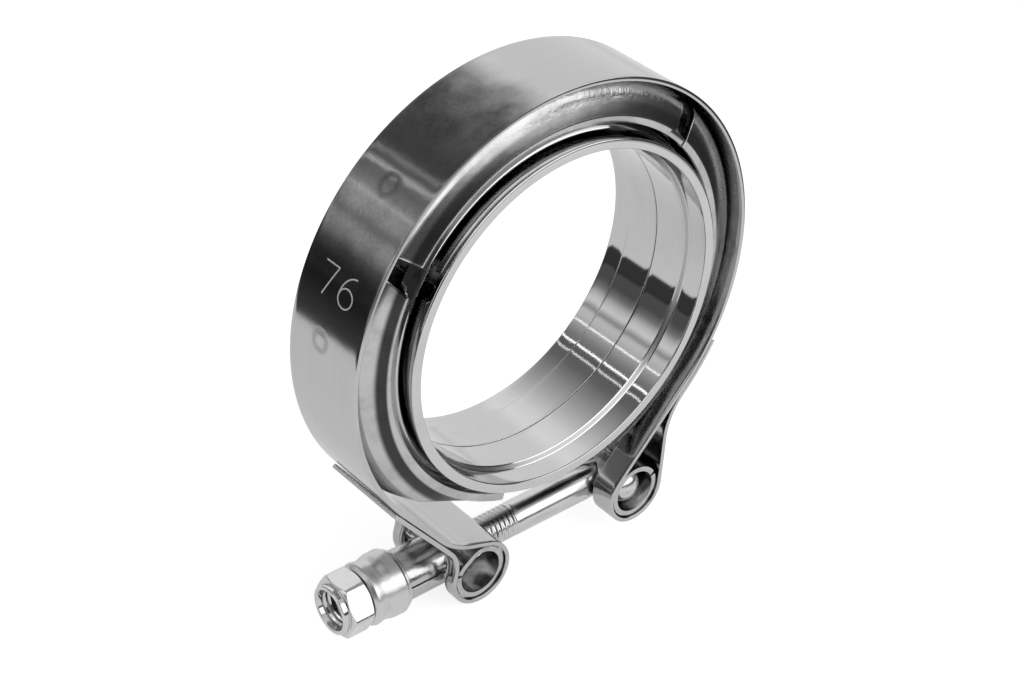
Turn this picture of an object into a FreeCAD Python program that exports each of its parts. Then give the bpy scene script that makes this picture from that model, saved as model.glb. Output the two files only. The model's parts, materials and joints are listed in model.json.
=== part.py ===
import FreeCAD, Part
import math
import os
import Sketcher

# V-band clamp with its two flanges, in millimetres.
# The bore axis is Y and Z is up. The origin is on the bore axis, half way across the band.
# The bolt lies under the ring, with its nut at the left, toward -X.

os.makedirs("parts", exist_ok=True)
doc = FreeCAD.newDocument("VBandClamp")
sheet = doc.addObject("Spreadsheet::Sheet", "Sizes")

# Driving sizes, each written once
DRIVING = {
    "tube_diameter": 76.2,
    "socket_clearance": 0.1,
    "socket_depth": 5.0,
    "shoulder_height": 1.0,
    "hub_wall": 2.3,
    "front_length": 13.5,
    "rear_length": 15.6,
    "ridge_height": 3.1,
    "ridge_half_width": 7.9,
    "wedge_angle": 20.0,
    "edge_break": 0.4,
    "ridge_edge_break": 1.0,
    "face_gap": 0.1,
    "pilot_length": 0.8,
    "pilot_wall": 2.0,
    "pilot_clearance": 0.3,
    "channel_height": 10.9,
    "band_width": 21.5,
    "band_thickness": 1.0,
    "layer_gap": 0.25,
    "retainer_sheet": 1.5,
    "retainer_inset": 0.3,
    "seat_gap": 0.02,
    "tip_clearance": 1.9,
    "tip_height": 1.6,
    "bend_radius": 6.0,
    "top_retainer_start_angle": 46.5,
    "top_retainer_span_angle": 101.5,
    "top_retainer_notch": 4.1,
    "left_retainer_start_angle": 152.7,
    "left_retainer_span_angle": 102.3,
    "left_retainer_lead": 3.3,
    "left_retainer_cut_height": 0.7,
    "left_retainer_cut_run": 14.5,
    "left_retainer_cut_reach": 34.0,
    "left_retainer_cut_fall": 5.8,
    "right_retainer_start_angle": -62.7,
    "right_retainer_span_angle": 108.5,
    "cut_margin": 1.0,
    "cut_side": 8.0,
    "loop_radius": 7.3,
    "left_loop_reach": 22.06,
    "left_loop_fall": 24.9,
    "right_loop_gap": 5.3,
    "right_loop_angle": 26.7,
    "left_strap_angle": 47.0,
    "left_strap_length": 15.5,
    "left_strap_bend": 18.0,
    "left_tail_bend": 8.0,
    "left_tail_length": 23.0,
    "right_tail_bend": 16.5,
    "right_tail_start_angle": 40.7,
    "right_tail_end_angle": 26.0,
    "left_window_width": 15.4,
    "left_window_outward": 10.1,
    "left_window_inward": 11.9,
    "left_window_rise": 10.8,
    "right_window_width": 9.4,
    "right_window_outward": 1.0,
    "right_window_inward": 11.0,
    "right_window_rise": 10.6,
    "bolt_diameter": 7.8,
    "bolt_drop": 0.55,
    "cross_bar_diameter": 8.6,
    "cross_bar_length": 19.0,
    "cross_bar_dome": 2.2,
    "rolled_sheet": 1.2,
    "roll_clearance": 0.4,
    "roll_length": 20.6,
    "barrel_end": 17.0,
    "barrel_radius": 5.9,
    "seam_width": 0.7,
    "collar_overlap": 1.3,
    "collar_clearance": 0.3,
    "collar_wall": 1.25,
    "collar_length": 9.5,
    "collar_neck_radius": 6.4,
    "nut_across_flats": 13.0,
    "hexagon_half_angle": 30.0,
    "nut_gap": 0.3,
    "nut_hex_length": 5.7,
    "nut_crown_length": 1.4,
    "nut_crown_radius": 5.7,
    "thread_clearance": 0.06,
    "bolt_recess": 2.6,
    "bolt_chamfer": 0.8,
    "nut_turn_angle": 28.0,
    "nut_mouth_step": 0.7,
    "trunnion_seam_angle": 165.0,
    "sleeve_seam_angle": 25.0,
    "sleeve_hole_radius": 4.7,
    "collar_lip_length": 1.6,
    "collar_lip_step": 0.6,
    "collar_slope_length": 3.6,
    "collar_bend": 1.5,
}

# Sizes worked out from the driving ones
DERIVED = {
    "socket_radius": "=tube_diameter / 2 + socket_clearance",
    "bore_radius": "=socket_radius - shoulder_height",
    "hub_radius": "=socket_radius + hub_wall",
    "ridge_radius": "=hub_radius + ridge_height",
    "ridge_rise": "=ridge_height * tan(wedge_angle)",
    "ridge_foot": "=ridge_half_width + ridge_rise",
    "shoulder_front": "=front_length - socket_depth",
    "shoulder_front_end": "=shoulder_front - shoulder_height",
    "shoulder_rear": "=rear_length - socket_depth",
    "shoulder_rear_end": "=shoulder_rear - shoulder_height",
    "front_break": "=front_length - edge_break",
    "rear_break": "=rear_length - edge_break",
    "hub_break": "=hub_radius - edge_break",
    "socket_break": "=socket_radius + edge_break",
    "ridge_break": "=ridge_radius - ridge_edge_break",
    "ridge_width_break": "=ridge_half_width - ridge_edge_break",
    "pilot_radius": "=bore_radius + pilot_wall",
    "recess_radius": "=pilot_radius + pilot_clearance",
    "recess_depth": "=pilot_length + 2 * face_gap",
    "band_inner_radius": "=hub_radius + channel_height",
    "band_middle_radius": "=band_inner_radius + band_thickness / 2",
    "band_half_width": "=band_width / 2",
    "band_outer_radius": "=band_inner_radius + band_thickness",
    "layer_pitch": "=band_thickness + layer_gap",
    "tail_middle_radius": "=band_middle_radius + layer_pitch",
    "tail_start_x": "=tail_middle_radius * cos(right_tail_start_angle)",
    "tail_end_x": "=tail_middle_radius * cos(right_tail_end_angle)",
    "left_loop_x": "=band_middle_radius * sin(left_strap_angle) - left_loop_reach",
    "left_loop_drop": "=band_middle_radius * cos(left_strap_angle) + left_loop_fall",
    "right_loop_distance": "=band_middle_radius + loop_radius + right_loop_gap",
    "right_loop_x": "=right_loop_distance * sin(right_loop_angle)",
    "right_loop_drop": "=right_loop_distance * cos(right_loop_angle)",
    "left_strap_run": "=left_strap_length * cos(left_strap_angle)",
    "left_strap_fall": "=left_strap_length * sin(left_strap_angle)",
    "tip_radius": "=hub_radius + tip_clearance",
    "tip_shoulder": "=tip_radius + tip_height",
    "tip_half_width": "=band_half_width - retainer_inset",
    "tip_inner_half_width": "=tip_half_width - retainer_sheet",
    "web_outer_radius": "=band_inner_radius - seat_gap",
    "leg_run": "=(web_outer_radius - tip_shoulder) * tan(wedge_angle)",
    "web_half_width": "=tip_half_width - leg_run",
    "web_inner_radius": "=web_outer_radius - retainer_sheet",
    "leg_slope_sheet": "=retainer_sheet / cos(wedge_angle)",
    "leg_inner_start": "=tip_half_width - leg_slope_sheet",
    "web_inner_half_width": "=leg_inner_start - (web_inner_radius - tip_shoulder) * tan(wedge_angle)",
    "bend_inner_radius": "=bend_radius - retainer_sheet",
    "retainer_height": "=band_inner_radius - tip_radius",
    "cut_outer": "=band_inner_radius + cut_margin",
    "cut_inner": "=tip_radius - cut_margin",
    "lead_outer": "=left_retainer_lead / retainer_height * cut_margin",
    "lead_inner": "=left_retainer_lead / retainer_height * (retainer_height + cut_margin)",
    "left_retainer_cut_radius": "=tip_shoulder + left_retainer_cut_height",
    "left_retainer_cut_foot": "=left_retainer_cut_radius - left_retainer_cut_fall",
    "loop_inner_radius": "=loop_radius - band_thickness / 2",
    "loop_outer_radius": "=loop_radius + band_thickness / 2",
    "left_window_far": "=left_loop_x + left_window_outward",
    "left_window_near": "=left_loop_x - left_window_inward",
    "left_window_top": "=left_loop_drop - left_window_rise",
    "left_window_bottom": "=left_loop_drop + loop_outer_radius + cut_margin",
    "right_window_near": "=right_loop_x - right_window_inward",
    "right_window_far": "=right_loop_x + right_window_outward",
    "right_window_top": "=right_loop_drop - right_window_rise",
    "right_window_bottom": "=right_loop_drop + loop_outer_radius + cut_margin",
    "roll_outer_radius": "=loop_inner_radius - roll_clearance",
    "roll_inner_radius": "=roll_outer_radius - rolled_sheet",
    "bolt_radius": "=bolt_diameter / 2",
    "bolt_span": "=sqrt((left_loop_x + right_loop_x)^2 + (left_loop_drop - right_loop_drop)^2)",
    "bolt_tilt": "=atan((left_loop_drop - right_loop_drop) / (left_loop_x + right_loop_x))",
    "barrel_inner_radius": "=barrel_radius - rolled_sheet",
    "collar_rim": "=barrel_end - collar_overlap",
    "collar_shoulder": "=barrel_end + collar_clearance",
    "collar_end": "=collar_rim + collar_length",
    "collar_inner_radius": "=barrel_radius + collar_clearance",
    "collar_radius": "=collar_inner_radius + collar_wall",
    "collar_bore": "=bolt_radius + collar_clearance",
    "collar_slope_start": "=collar_end - collar_slope_length",
    "nut_start": "=collar_end + nut_gap",
    "nut_hex_end": "=nut_start + nut_hex_length",
    "nut_end": "=nut_hex_end + nut_crown_length",
    "nut_corner_radius": "=nut_across_flats / 2 / cos(hexagon_half_angle)",
    "nut_bore": "=bolt_radius + thread_clearance",
    "nut_crown_bore": "=nut_bore + nut_mouth_step",
    "bolt_end": "=nut_end - bolt_recess",
    "bolt_line_x": "=bolt_drop * sin(bolt_tilt) - left_loop_x",
    "bolt_line_z": "=0 - left_loop_drop - bolt_drop * cos(bolt_tilt)",
    "bolt_point": "=bolt_end - bolt_chamfer",
    "bolt_point_radius": "=bolt_radius - bolt_chamfer",
    "cross_bar_radius": "=cross_bar_diameter / 2",
    "bore_reach": "=2 * (barrel_end + roll_outer_radius)",
    "seam_inner": "=roll_inner_radius - seam_width",
    "seam_outer": "=roll_outer_radius + seam_width",
    "seam_half": "=seam_width / 2",
    "collar_lip": "=collar_rim + collar_lip_length",
    "collar_lip_radius": "=collar_radius - collar_lip_step",
    "nut_half_flats": "=nut_across_flats / 2",
    "nut_half_side": "=nut_half_flats * tan(hexagon_half_angle)",
    "nut_cut_radius": "=nut_corner_radius + cut_margin",
    "nut_cut_start": "=nut_start + (nut_cut_radius - nut_half_flats) * tan(hexagon_half_angle)",
    "nut_cut_end": "=nut_hex_end - (nut_cut_radius - nut_half_flats) * tan(hexagon_half_angle)",
    "nut_waist": "=nut_start + nut_hex_length / 2",
    "nut_crown_break": "=nut_end - edge_break",
    "nut_crown_break_radius": "=nut_crown_radius - edge_break",
    "nut_bore_reach": "=2 * (nut_end + cut_margin)",
}

for row, (alias, content) in enumerate({**DRIVING, **DERIVED}.items(), start=1):
    sheet.set("A%d" % row, alias)
    sheet.set("B%d" % row, str(content))
    sheet.setAlias("B%d" % row, alias)
doc.recompute()


def number(token):
    """Value of a size, given its alias with an optional minus sign, or of a plain number."""
    sign = -1.0 if token.startswith("-") else 1.0
    name = token.lstrip("-")
    return sign * float(getattr(sheet, name)) if name[0].isalpha() else float(token)


def formula(token):
    """Expression that binds a property to the size that a token names."""
    name = token.lstrip("-")
    sign = "-" if token.startswith("-") else ""
    return sign + "Sizes." + name if name[0].isalpha() else token


def new_body(label):
    body = doc.addObject("PartDesign::Body", label)
    body.Label = label
    return body


def plane_sketch(body, plane, name):
    """Empty sketch flat on one of the body's own origin planes."""
    sketch = body.newObject("Sketcher::SketchObject", name)
    sketch.AttachmentSupport = [(next(f for f in body.Origin.OriginFeatures if f.Role == plane), "")]
    sketch.MapMode = "FlatFace"
    return sketch


def bind(sketch, constraint, token):
    """Add a dimension to a sketch and bind it to a size."""
    index = sketch.addConstraint(constraint)
    if token.lstrip("-")[0].isalpha():
        sketch.setExpression("Constraints[%d]" % index, formula(token))
    return index


def place_point(sketch, edge, end, x_token, y_token):
    """Hold a point of a sketch at two sizes from the sketch's origin."""
    for kind, token, on_axis in (("DistanceX", x_token, -2), ("DistanceY", y_token, -1)):
        if number(token) == 0:
            sketch.addConstraint(Sketcher.Constraint("PointOnObject", edge, end, on_axis))
        else:
            bind(sketch, Sketcher.Constraint(kind, -1, 1, edge, end, number(token)), token)


def polygon(body, plane, name, corners):
    """Closed outline whose corners are pairs of size aliases."""
    sketch = plane_sketch(body, plane, name)
    points = [FreeCAD.Vector(number(x), number(y), 0) for x, y in corners]
    count = len(points)
    for i in range(count):
        sketch.addGeometry(Part.LineSegment(points[i], points[(i + 1) % count]))
    for i in range(count):
        sketch.addConstraint(Sketcher.Constraint("Coincident", i, 2, (i + 1) % count, 1))
        place_point(sketch, i, 1, *corners[i])
    return sketch


def circles(body, plane, name, x_token, y_token, radii):
    """Concentric circles at a stated point."""
    sketch = plane_sketch(body, plane, name)
    centre = FreeCAD.Vector(number(x_token), number(y_token), 0)
    for i, token in enumerate(radii):
        sketch.addGeometry(Part.Circle(centre, FreeCAD.Vector(0, 0, 1), number(token)))
        place_point(sketch, i, 3, x_token, y_token)
        bind(sketch, Sketcher.Constraint("Radius", i, number(token)), token)
    return sketch


def revolve(body, sketch, axis, name, groove=False):
    kind = "PartDesign::Groove" if groove else "PartDesign::Revolution"
    feature = body.newObject(kind, name)
    feature.Profile = sketch
    feature.ReferenceAxis = (sketch, [axis])
    return feature


def extrude(body, sketch, name, token, pocket=False, both_ways=True, reverse=False):
    feature = body.newObject("PartDesign::Pocket" if pocket else "PartDesign::Pad", name)
    feature.Profile = sketch
    feature.Length = number(token)
    feature.setExpression("Length", formula(token))
    feature.Midplane = both_ways
    feature.Reversed = reverse
    return feature


class Route:
    """Chain of tangent runs and turns in one sketch, followed from its first point to its last."""

    def __init__(self, body, plane, name):
        self.sketch = plane_sketch(body, plane, name)
        self.last = None

    def join(self, index, start, end):
        if self.last is not None:
            self.sketch.addConstraint(Sketcher.Constraint("Tangent", *self.last, index, start))
        self.last = (index, end)
        return index

    def run(self, start, end):
        return self.join(self.sketch.addGeometry(Part.LineSegment(start, end)), 1, 2)

    def turn(self, centre, radius_token, heading_in, heading_out, left, centre_tokens=None):
        """Arc from one heading to another, in radians, to the left or to the right."""
        quarter = math.pi / 2 if left else -math.pi / 2
        first, last = heading_in - quarter, heading_out - quarter
        low, high = (first, last) if left else (last, first)
        high += 2 * math.pi * math.ceil((low - high) / (2 * math.pi))
        circle = Part.Circle(centre, FreeCAD.Vector(0, 0, 1), number(radius_token))
        index = self.sketch.addGeometry(Part.ArcOfCircle(circle, low, high))
        self.join(index, 1 if left else 2, 2 if left else 1)
        bind(self.sketch, Sketcher.Constraint("Radius", index, number(radius_token)), radius_token)
        if centre_tokens:
            place_point(self.sketch, index, 3, *centre_tokens)
        return index


def vector(x, y):
    return FreeCAD.Vector(x, y, 0)


def along(heading, length):
    return vector(length * math.cos(heading), length * math.sin(heading))


def leftward(heading, length):
    return along(heading + math.pi / 2, length)


def crossing(first, second, radii, left_first):
    """Heading of the straight run from a turn one way to a turn the other way."""
    gap = second - first
    lean = math.asin(radii / math.hypot(gap.x, gap.y))
    return math.atan2(gap.y, gap.x) + (lean if left_first else -lean)


def band_left_route(body):
    """Ring from its top to the left, the strap, the left loop and the tail that lies under the strap."""
    ring, loop = number("band_middle_radius"), number("loop_radius")
    bend, tail_bend = number("left_strap_bend"), number("left_tail_bend")
    heading = math.radians(-number("left_strap_angle"))
    leave = leftward(heading, -ring)
    strap_end = leave + along(heading, number("left_strap_length"))
    bend_centre = strap_end + leftward(heading, bend)
    loop_centre = vector(number("-left_loop_x"), number("-left_loop_drop"))
    drop_heading = crossing(bend_centre, loop_centre, bend + loop, True)
    back = heading + math.pi
    tail_base = leave + leftward(back, number("layer_pitch") + tail_bend)
    offset = tail_base - loop_centre
    forward = along(heading, 1.0)
    middle = offset.dot(forward)
    reach = (tail_bend + loop) ** 2 - (offset.Length ** 2 - middle ** 2)
    tail_centre = tail_base + along(heading, -middle - math.sqrt(reach))
    to_tail = tail_centre - loop_centre
    climb = math.atan2(to_tail.y, to_tail.x) - math.pi / 2
    tail_start = tail_centre + leftward(back, -tail_bend)
    route = Route(body, "XZ_Plane", "BandLeftRoute")
    origin = ("0", "0")
    ring_arc = route.turn(vector(0, 0), "band_middle_radius", math.pi, heading + 2 * math.pi, True, origin)
    strap = route.run(leave, strap_end)
    route.turn(bend_centre, "left_strap_bend", heading, drop_heading, True)
    route.run(bend_centre - leftward(drop_heading, bend), loop_centre + leftward(drop_heading, loop))
    route.turn(loop_centre, "loop_radius", drop_heading, climb, False, ("-left_loop_x", "-left_loop_drop"))
    route.turn(tail_centre, "left_tail_bend", climb, back, True)
    tail = route.run(tail_start, tail_start + along(back, number("left_tail_length")))
    sketch = route.sketch
    sketch.addConstraint(Sketcher.Constraint("PointOnObject", ring_arc, 1, -2))
    bind(sketch, Sketcher.Constraint("DistanceX", strap, 1, strap, 2, number("left_strap_run")),
         "left_strap_run")
    bind(sketch, Sketcher.Constraint("DistanceY", strap, 1, strap, 2, number("-left_strap_fall")),
         "-left_strap_fall")
    sketch.addConstraint(Sketcher.Constraint("Parallel", strap, tail))
    bind(sketch, Sketcher.Constraint("Distance", tail, 1, strap, number("layer_pitch")), "layer_pitch")
    bind(sketch, Sketcher.Constraint("Distance", tail, number("left_tail_length")), "left_tail_length")
    return sketch


def band_right_route(body):
    """Ring from its top to the right, the strap, the right loop and the tail that lies over the strap."""
    ring, loop = number("band_middle_radius"), number("loop_radius")
    bend, tail_ring = number("right_tail_bend"), number("tail_middle_radius")
    loop_centre = vector(number("right_loop_x"), number("-right_loop_drop"))
    strap_heading = crossing(vector(0, 0), loop_centre, ring + loop, False)
    begin, end = (math.radians(-number(name)) for name in ("right_tail_start_angle", "right_tail_end_angle"))
    bend_centre = along(begin, tail_ring + bend)
    rise_heading = crossing(loop_centre, bend_centre, loop + bend, True)
    route = Route(body, "XZ_Plane", "BandRightRoute")
    ring_arc = route.turn(vector(0, 0), "band_middle_radius", 0.0, strap_heading, False, ("0", "0"))
    route.run(leftward(strap_heading, ring), loop_centre - leftward(strap_heading, loop))
    route.turn(loop_centre, "loop_radius", strap_heading, rise_heading, True,
               ("right_loop_x", "-right_loop_drop"))
    route.run(loop_centre - leftward(rise_heading, loop), bend_centre + leftward(rise_heading, bend))
    route.turn(bend_centre, "right_tail_bend", rise_heading, begin + math.pi / 2, False)
    tail = route.turn(vector(0, 0), "tail_middle_radius", begin + math.pi / 2, end + math.pi / 2, True,
                      ("0", "0"))
    sketch = route.sketch
    sketch.addConstraint(Sketcher.Constraint("PointOnObject", ring_arc, 2, -2))
    bind(sketch, Sketcher.Constraint("DistanceX", -1, 1, tail, 1, number("tail_start_x")), "tail_start_x")
    bind(sketch, Sketcher.Constraint("DistanceX", -1, 1, tail, 2, number("tail_end_x")), "tail_end_x")
    return sketch


def slot(body, side, x_from, x_to):
    """Opening across the middle of a loop, for the parts that pass through it."""
    low, high = "-%s_window_bottom" % side, "-%s_window_top" % side
    name = side.capitalize() + "Window"
    outline = polygon(body, "XZ_Plane", name + "Outline", [
        (x_from, low), (x_to, low), (x_to, high), (x_from, high)])
    extrude(body, outline, name, side + "_window_width", pocket=True)


def make_band():
    """One stainless strip: the ring, and at each end a loop that folds back on the outside."""
    body = new_body("band")
    strip = polygon(body, "YZ_Plane", "BandSection", [
        ("-band_half_width", "band_inner_radius"), ("band_half_width", "band_inner_radius"),
        ("band_half_width", "band_outer_radius"), ("-band_half_width", "band_outer_radius")])
    for name, route in (("Left", band_left_route(body)), ("Right", band_right_route(body))):
        pipe = body.newObject("PartDesign::AdditivePipe", "Band" + name)
        pipe.Profile = strip
        pipe.Spine = (route, [])
    slot(body, "left", "-left_window_far", "-left_window_near")
    slot(body, "right", "right_window_near", "right_window_far")


def find_edges(body, wanted):
    """Names of the edges of the body's tip that pass the test."""
    doc.recompute()
    return ["Edge%d" % (i + 1) for i, edge in enumerate(body.Tip.Shape.Edges) if wanted(edge)]


def rings(body, radius_token, half_width_token=None):
    """Round edges of one radius about the bore axis, at both ends of a stated width."""
    radius = number(radius_token)

    def wanted(edge):
        if not isinstance(edge.Curve, Part.Circle) or abs(edge.Curve.Radius - radius) > 1e-3:
            return False
        return half_width_token is None or abs(abs(edge.Curve.Center.y) - number(half_width_token)) < 1e-3
    return find_edges(body, wanted)


def rounded(body, name, edges, token):
    fillet = body.newObject("PartDesign::Fillet", name)
    fillet.Base = (body.Tip if body.Tip != fillet else fillet.BaseFeature, edges)
    fillet.Radius = number(token)
    fillet.setExpression("Radius", formula(token))
    return fillet


def turn_body(body, angle_token):
    """Turn a body about the bore axis, from +X toward +Z."""
    body.Placement = FreeCAD.Placement(FreeCAD.Vector(), FreeCAD.Rotation(FreeCAD.Vector(0, -1, 0),
                                                                        number(angle_token)))
    body.setExpression("Placement.Rotation.Angle", formula(angle_token))


def make_retainer(side):
    """Sheet rolled to a channel, its legs flared and its lips turned in square to the bore axis."""
    body = new_body("retainer_" + side)
    span_token = side + "_retainer_span_angle"
    name = "Retainer" + side.capitalize()
    half = [("web_outer_radius", "web_half_width"), ("tip_shoulder", "tip_half_width"),
            ("tip_radius", "tip_half_width"), ("tip_radius", "tip_inner_half_width"),
            ("tip_shoulder", "leg_inner_start"), ("web_inner_radius", "web_inner_half_width")]
    corners = half + [(x, "-" + y) for x, y in reversed(half)]
    section = polygon(body, "XY_Plane", name + "Section", corners)
    roll = revolve(body, section, "V_Axis", name + "Roll")
    roll.Angle = number(span_token)
    roll.setExpression("Angle", formula(span_token))
    roll.Reversed = True
    rounded(body, name + "Bend", rings(body, "web_outer_radius", "web_half_width"), "bend_radius")
    rounded(body, name + "Hollow", rings(body, "web_inner_radius", "web_inner_half_width"),
            "bend_inner_radius")
    turn_body(body, side + "_retainer_start_angle")
    return body


def trim_end(body, name, corners, angle_token=None):
    """Cut an end of a retainer, the first one unless an angle is named, back to an outline."""
    outline = polygon(body, "XZ_Plane", name + "Outline", corners)
    if angle_token:
        turn_sketch(outline, angle_token)
    extrude(body, outline, name, "band_width", pocket=True)


def turn_sketch(sketch, angle_token):
    """Turn a sketch in its own plane."""
    sketch.AttachmentOffset = FreeCAD.Placement(
        sketch.AttachmentOffset.Base, FreeCAD.Rotation(FreeCAD.Vector(0, 0, 1), number(angle_token)))
    sketch.setExpression("AttachmentOffset.Rotation.Angle", formula(angle_token))


def make_flange(side, corners):
    body = new_body(side + "_flange")
    section = polygon(body, "XY_Plane", side.capitalize() + "FlangeSection", corners)
    revolve(body, section, "V_Axis", side.capitalize() + "FlangeTurning")
    return body


make_band()
trim_end(make_retainer("top"), "TopRetainerNotch", [
    ("tip_shoulder", "-cut_margin"), ("cut_outer", "-cut_margin"),
    ("cut_outer", "top_retainer_notch"), ("tip_shoulder", "top_retainer_notch")])
left_retainer = make_retainer("left")
trim_end(left_retainer, "LeftRetainerSlope", [
    ("cut_outer", "-lead_outer"), ("cut_inner", "lead_inner"),
    ("cut_inner", "-cut_side"), ("cut_outer", "-cut_side")])
trim_end(left_retainer, "LeftRetainerTaper", [
    ("left_retainer_cut_radius", "cut_side"), ("left_retainer_cut_radius", "-left_retainer_cut_run"),
    ("left_retainer_cut_foot", "-left_retainer_cut_reach"), ("cut_outer", "-left_retainer_cut_reach"),
    ("cut_outer", "cut_side")], "left_retainer_span_angle")
make_retainer("right")
make_flange("front", [
    ("socket_break", "-front_length"), ("hub_break", "-front_length"), ("hub_radius", "-front_break"),
    ("hub_radius", "-ridge_foot"), ("ridge_break", "-ridge_half_width"),
    ("ridge_radius", "-ridge_width_break"), ("ridge_radius", "0"), ("pilot_radius", "0"),
    ("pilot_radius", "pilot_length"), ("bore_radius", "pilot_length"),
    ("bore_radius", "-shoulder_front_end"), ("socket_radius", "-shoulder_front"),
    ("socket_radius", "-front_break")])
make_flange("rear", [
    ("recess_radius", "face_gap"), ("ridge_radius", "face_gap"), ("ridge_radius", "ridge_width_break"),
    ("ridge_break", "ridge_half_width"), ("hub_radius", "ridge_foot"), ("hub_radius", "rear_break"),
    ("hub_break", "rear_length"), ("socket_break", "rear_length"), ("socket_radius", "rear_break"),
    ("socket_radius", "shoulder_rear"), ("bore_radius", "shoulder_rear_end"),
    ("bore_radius", "recess_depth"), ("recess_radius", "recess_depth")])


def set_on_bolt_line(body):
    """Lay a body's X axis on the bolt's axis, its origin under the left loop's centre."""
    body.Placement = FreeCAD.Placement(
        FreeCAD.Vector(number("bolt_line_x"), 0, number("bolt_line_z")),
        FreeCAD.Rotation(FreeCAD.Vector(0, -1, 0), number("bolt_tilt")))
    body.setExpression("Placement.Base.x", formula("bolt_line_x"))
    body.setExpression("Placement.Base.z", formula("bolt_line_z"))
    body.setExpression("Placement.Rotation.Angle", formula("bolt_tilt"))


def shift_sketch(sketch, axis, token):
    """Move a sketch along one axis of its own frame."""
    sketch.setExpression("AttachmentOffset.Base." + axis, formula(token))


def cut_seam(body, name, x_token, angle_token):
    """Open seam along a rolled tube, where the edges of its sheet meet."""
    sketch = polygon(body, "XZ_Plane", name + "Outline", [
        ("seam_inner", "-seam_half"), ("seam_outer", "-seam_half"),
        ("seam_outer", "seam_half"), ("seam_inner", "seam_half")])
    turn_sketch(sketch, angle_token)
    shift_sketch(sketch, "x", x_token)
    shift_sketch(sketch, "y", "bolt_drop")
    extrude(body, sketch, name, "roll_length", pocket=True)


def make_trunnion():
    """Rolled cross tube in the left loop, with the barrel that leads the bolt out to the nut."""
    body = new_body("barrel_trunnion")
    extrude(body, circles(body, "XZ_Plane", "TrunnionRound", "0", "bolt_drop", ["roll_outer_radius"]),
            "TrunnionRoll", "roll_length")
    extrude(body, circles(body, "YZ_Plane", "BarrelRound", "0", "0", ["barrel_radius"]),
            "Barrel", "barrel_end", both_ways=False, reverse=True)
    extrude(body, circles(body, "XZ_Plane", "TrunnionBoreRound", "0", "bolt_drop", ["roll_inner_radius"]),
            "TrunnionBore", "roll_length", pocket=True)
    extrude(body, circles(body, "YZ_Plane", "BarrelBoreRound", "0", "0", ["barrel_inner_radius"]),
            "BarrelBore", "bore_reach", pocket=True)
    cut_seam(body, "TrunnionSeam", "0", "trunnion_seam_angle")
    set_on_bolt_line(body)


def make_sleeve():
    """Rolled tube in the right loop, around the cross bar of the bolt."""
    body = new_body("t_bolt_sleeve")
    extrude(body, circles(body, "XZ_Plane", "SleeveRound", "bolt_span", "bolt_drop",
                          ["roll_outer_radius", "roll_inner_radius"]), "SleeveRoll", "roll_length")
    extrude(body, circles(body, "YZ_Plane", "SleeveHoleRound", "0", "0", ["sleeve_hole_radius"]),
            "SleeveHole", "bolt_span", pocket=True, both_ways=False, reverse=True)
    cut_seam(body, "SleeveSeam", "bolt_span", "sleeve_seam_angle")
    set_on_bolt_line(body)


def make_t_bolt():
    """Round shank with a plain cross bar at its right end."""
    body = new_body("t_bolt")
    shank = polygon(body, "XY_Plane", "ShankProfile", [
        ("-bolt_end", "0"), ("bolt_span", "0"), ("bolt_span", "bolt_radius"),
        ("-bolt_point", "bolt_radius"), ("-bolt_end", "bolt_point_radius")])
    revolve(body, shank, "H_Axis", "Shank")
    extrude(body, circles(body, "XZ_Plane", "CrossBarRound", "bolt_span", "0", ["cross_bar_radius"]),
            "CrossBar", "cross_bar_length")
    rounded(body, "CrossBarDomes", rings(body, "cross_bar_radius"), "cross_bar_dome")
    set_on_bolt_line(body)


def make_collar():
    """Bell-shaped thrust collar between the nut and the barrel's open end."""
    body = new_body("thrust_collar")
    profile = polygon(body, "XY_Plane", "CollarProfile", [
        ("-collar_end", "collar_bore"), ("-collar_shoulder", "collar_bore"),
        ("-collar_shoulder", "collar_inner_radius"), ("-collar_rim", "collar_inner_radius"),
        ("-collar_rim", "collar_lip_radius"), ("-collar_lip", "collar_radius"),
        ("-collar_slope_start", "collar_radius"), ("-collar_end", "collar_neck_radius")])
    revolve(body, profile, "H_Axis", "CollarTurning")
    slope_edge = find_edges(body, lambda edge: isinstance(edge.Curve, Part.Circle)
                            and abs(edge.Curve.Center.x + number("collar_slope_start")) < 1e-3)
    rounded(body, "CollarBend", slope_edge, "collar_bend")
    set_on_bolt_line(body)


def make_nut():
    """Hexagon with a round crown at its outer end."""
    body = new_body("lock_nut")
    hexagon = polygon(body, "YZ_Plane", "NutHexagon", [
        ("nut_half_flats", "nut_half_side"), ("0", "nut_corner_radius"), ("-nut_half_flats", "nut_half_side"),
        ("-nut_half_flats", "-nut_half_side"), ("0", "-nut_corner_radius"),
        ("nut_half_flats", "-nut_half_side")])
    shift_sketch(hexagon, "z", "-nut_start")
    turn_sketch(hexagon, "nut_turn_angle")
    extrude(body, hexagon, "NutHex", "nut_hex_length", both_ways=False, reverse=True)
    crown = polygon(body, "XY_Plane", "NutCrownProfile", [
        ("-nut_waist", "nut_bore"), ("-nut_hex_end", "nut_bore"), ("-nut_end", "nut_crown_bore"),
        ("-nut_end", "nut_crown_break_radius"), ("-nut_crown_break", "nut_crown_radius"),
        ("-nut_waist", "nut_crown_radius")])
    revolve(body, crown, "H_Axis", "NutCrown")
    for name, face, slope in (("NutInnerChamfer", "nut_start", "nut_cut_start"),
                              ("NutOuterChamfer", "nut_hex_end", "nut_cut_end")):
        corner = polygon(body, "XY_Plane", name + "Profile", [
            ("-" + face, "nut_half_flats"), ("-" + slope, "nut_cut_radius"), ("-" + face, "nut_cut_radius")])
        revolve(body, corner, "H_Axis", name, groove=True)
    extrude(body, circles(body, "YZ_Plane", "NutBoreRound", "0", "0", ["nut_bore"]),
            "NutBore", "nut_bore_reach", pocket=True)
    set_on_bolt_line(body)


make_trunnion()
make_sleeve()
make_t_bolt()
make_collar()
make_nut()
doc.recompute()

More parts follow.
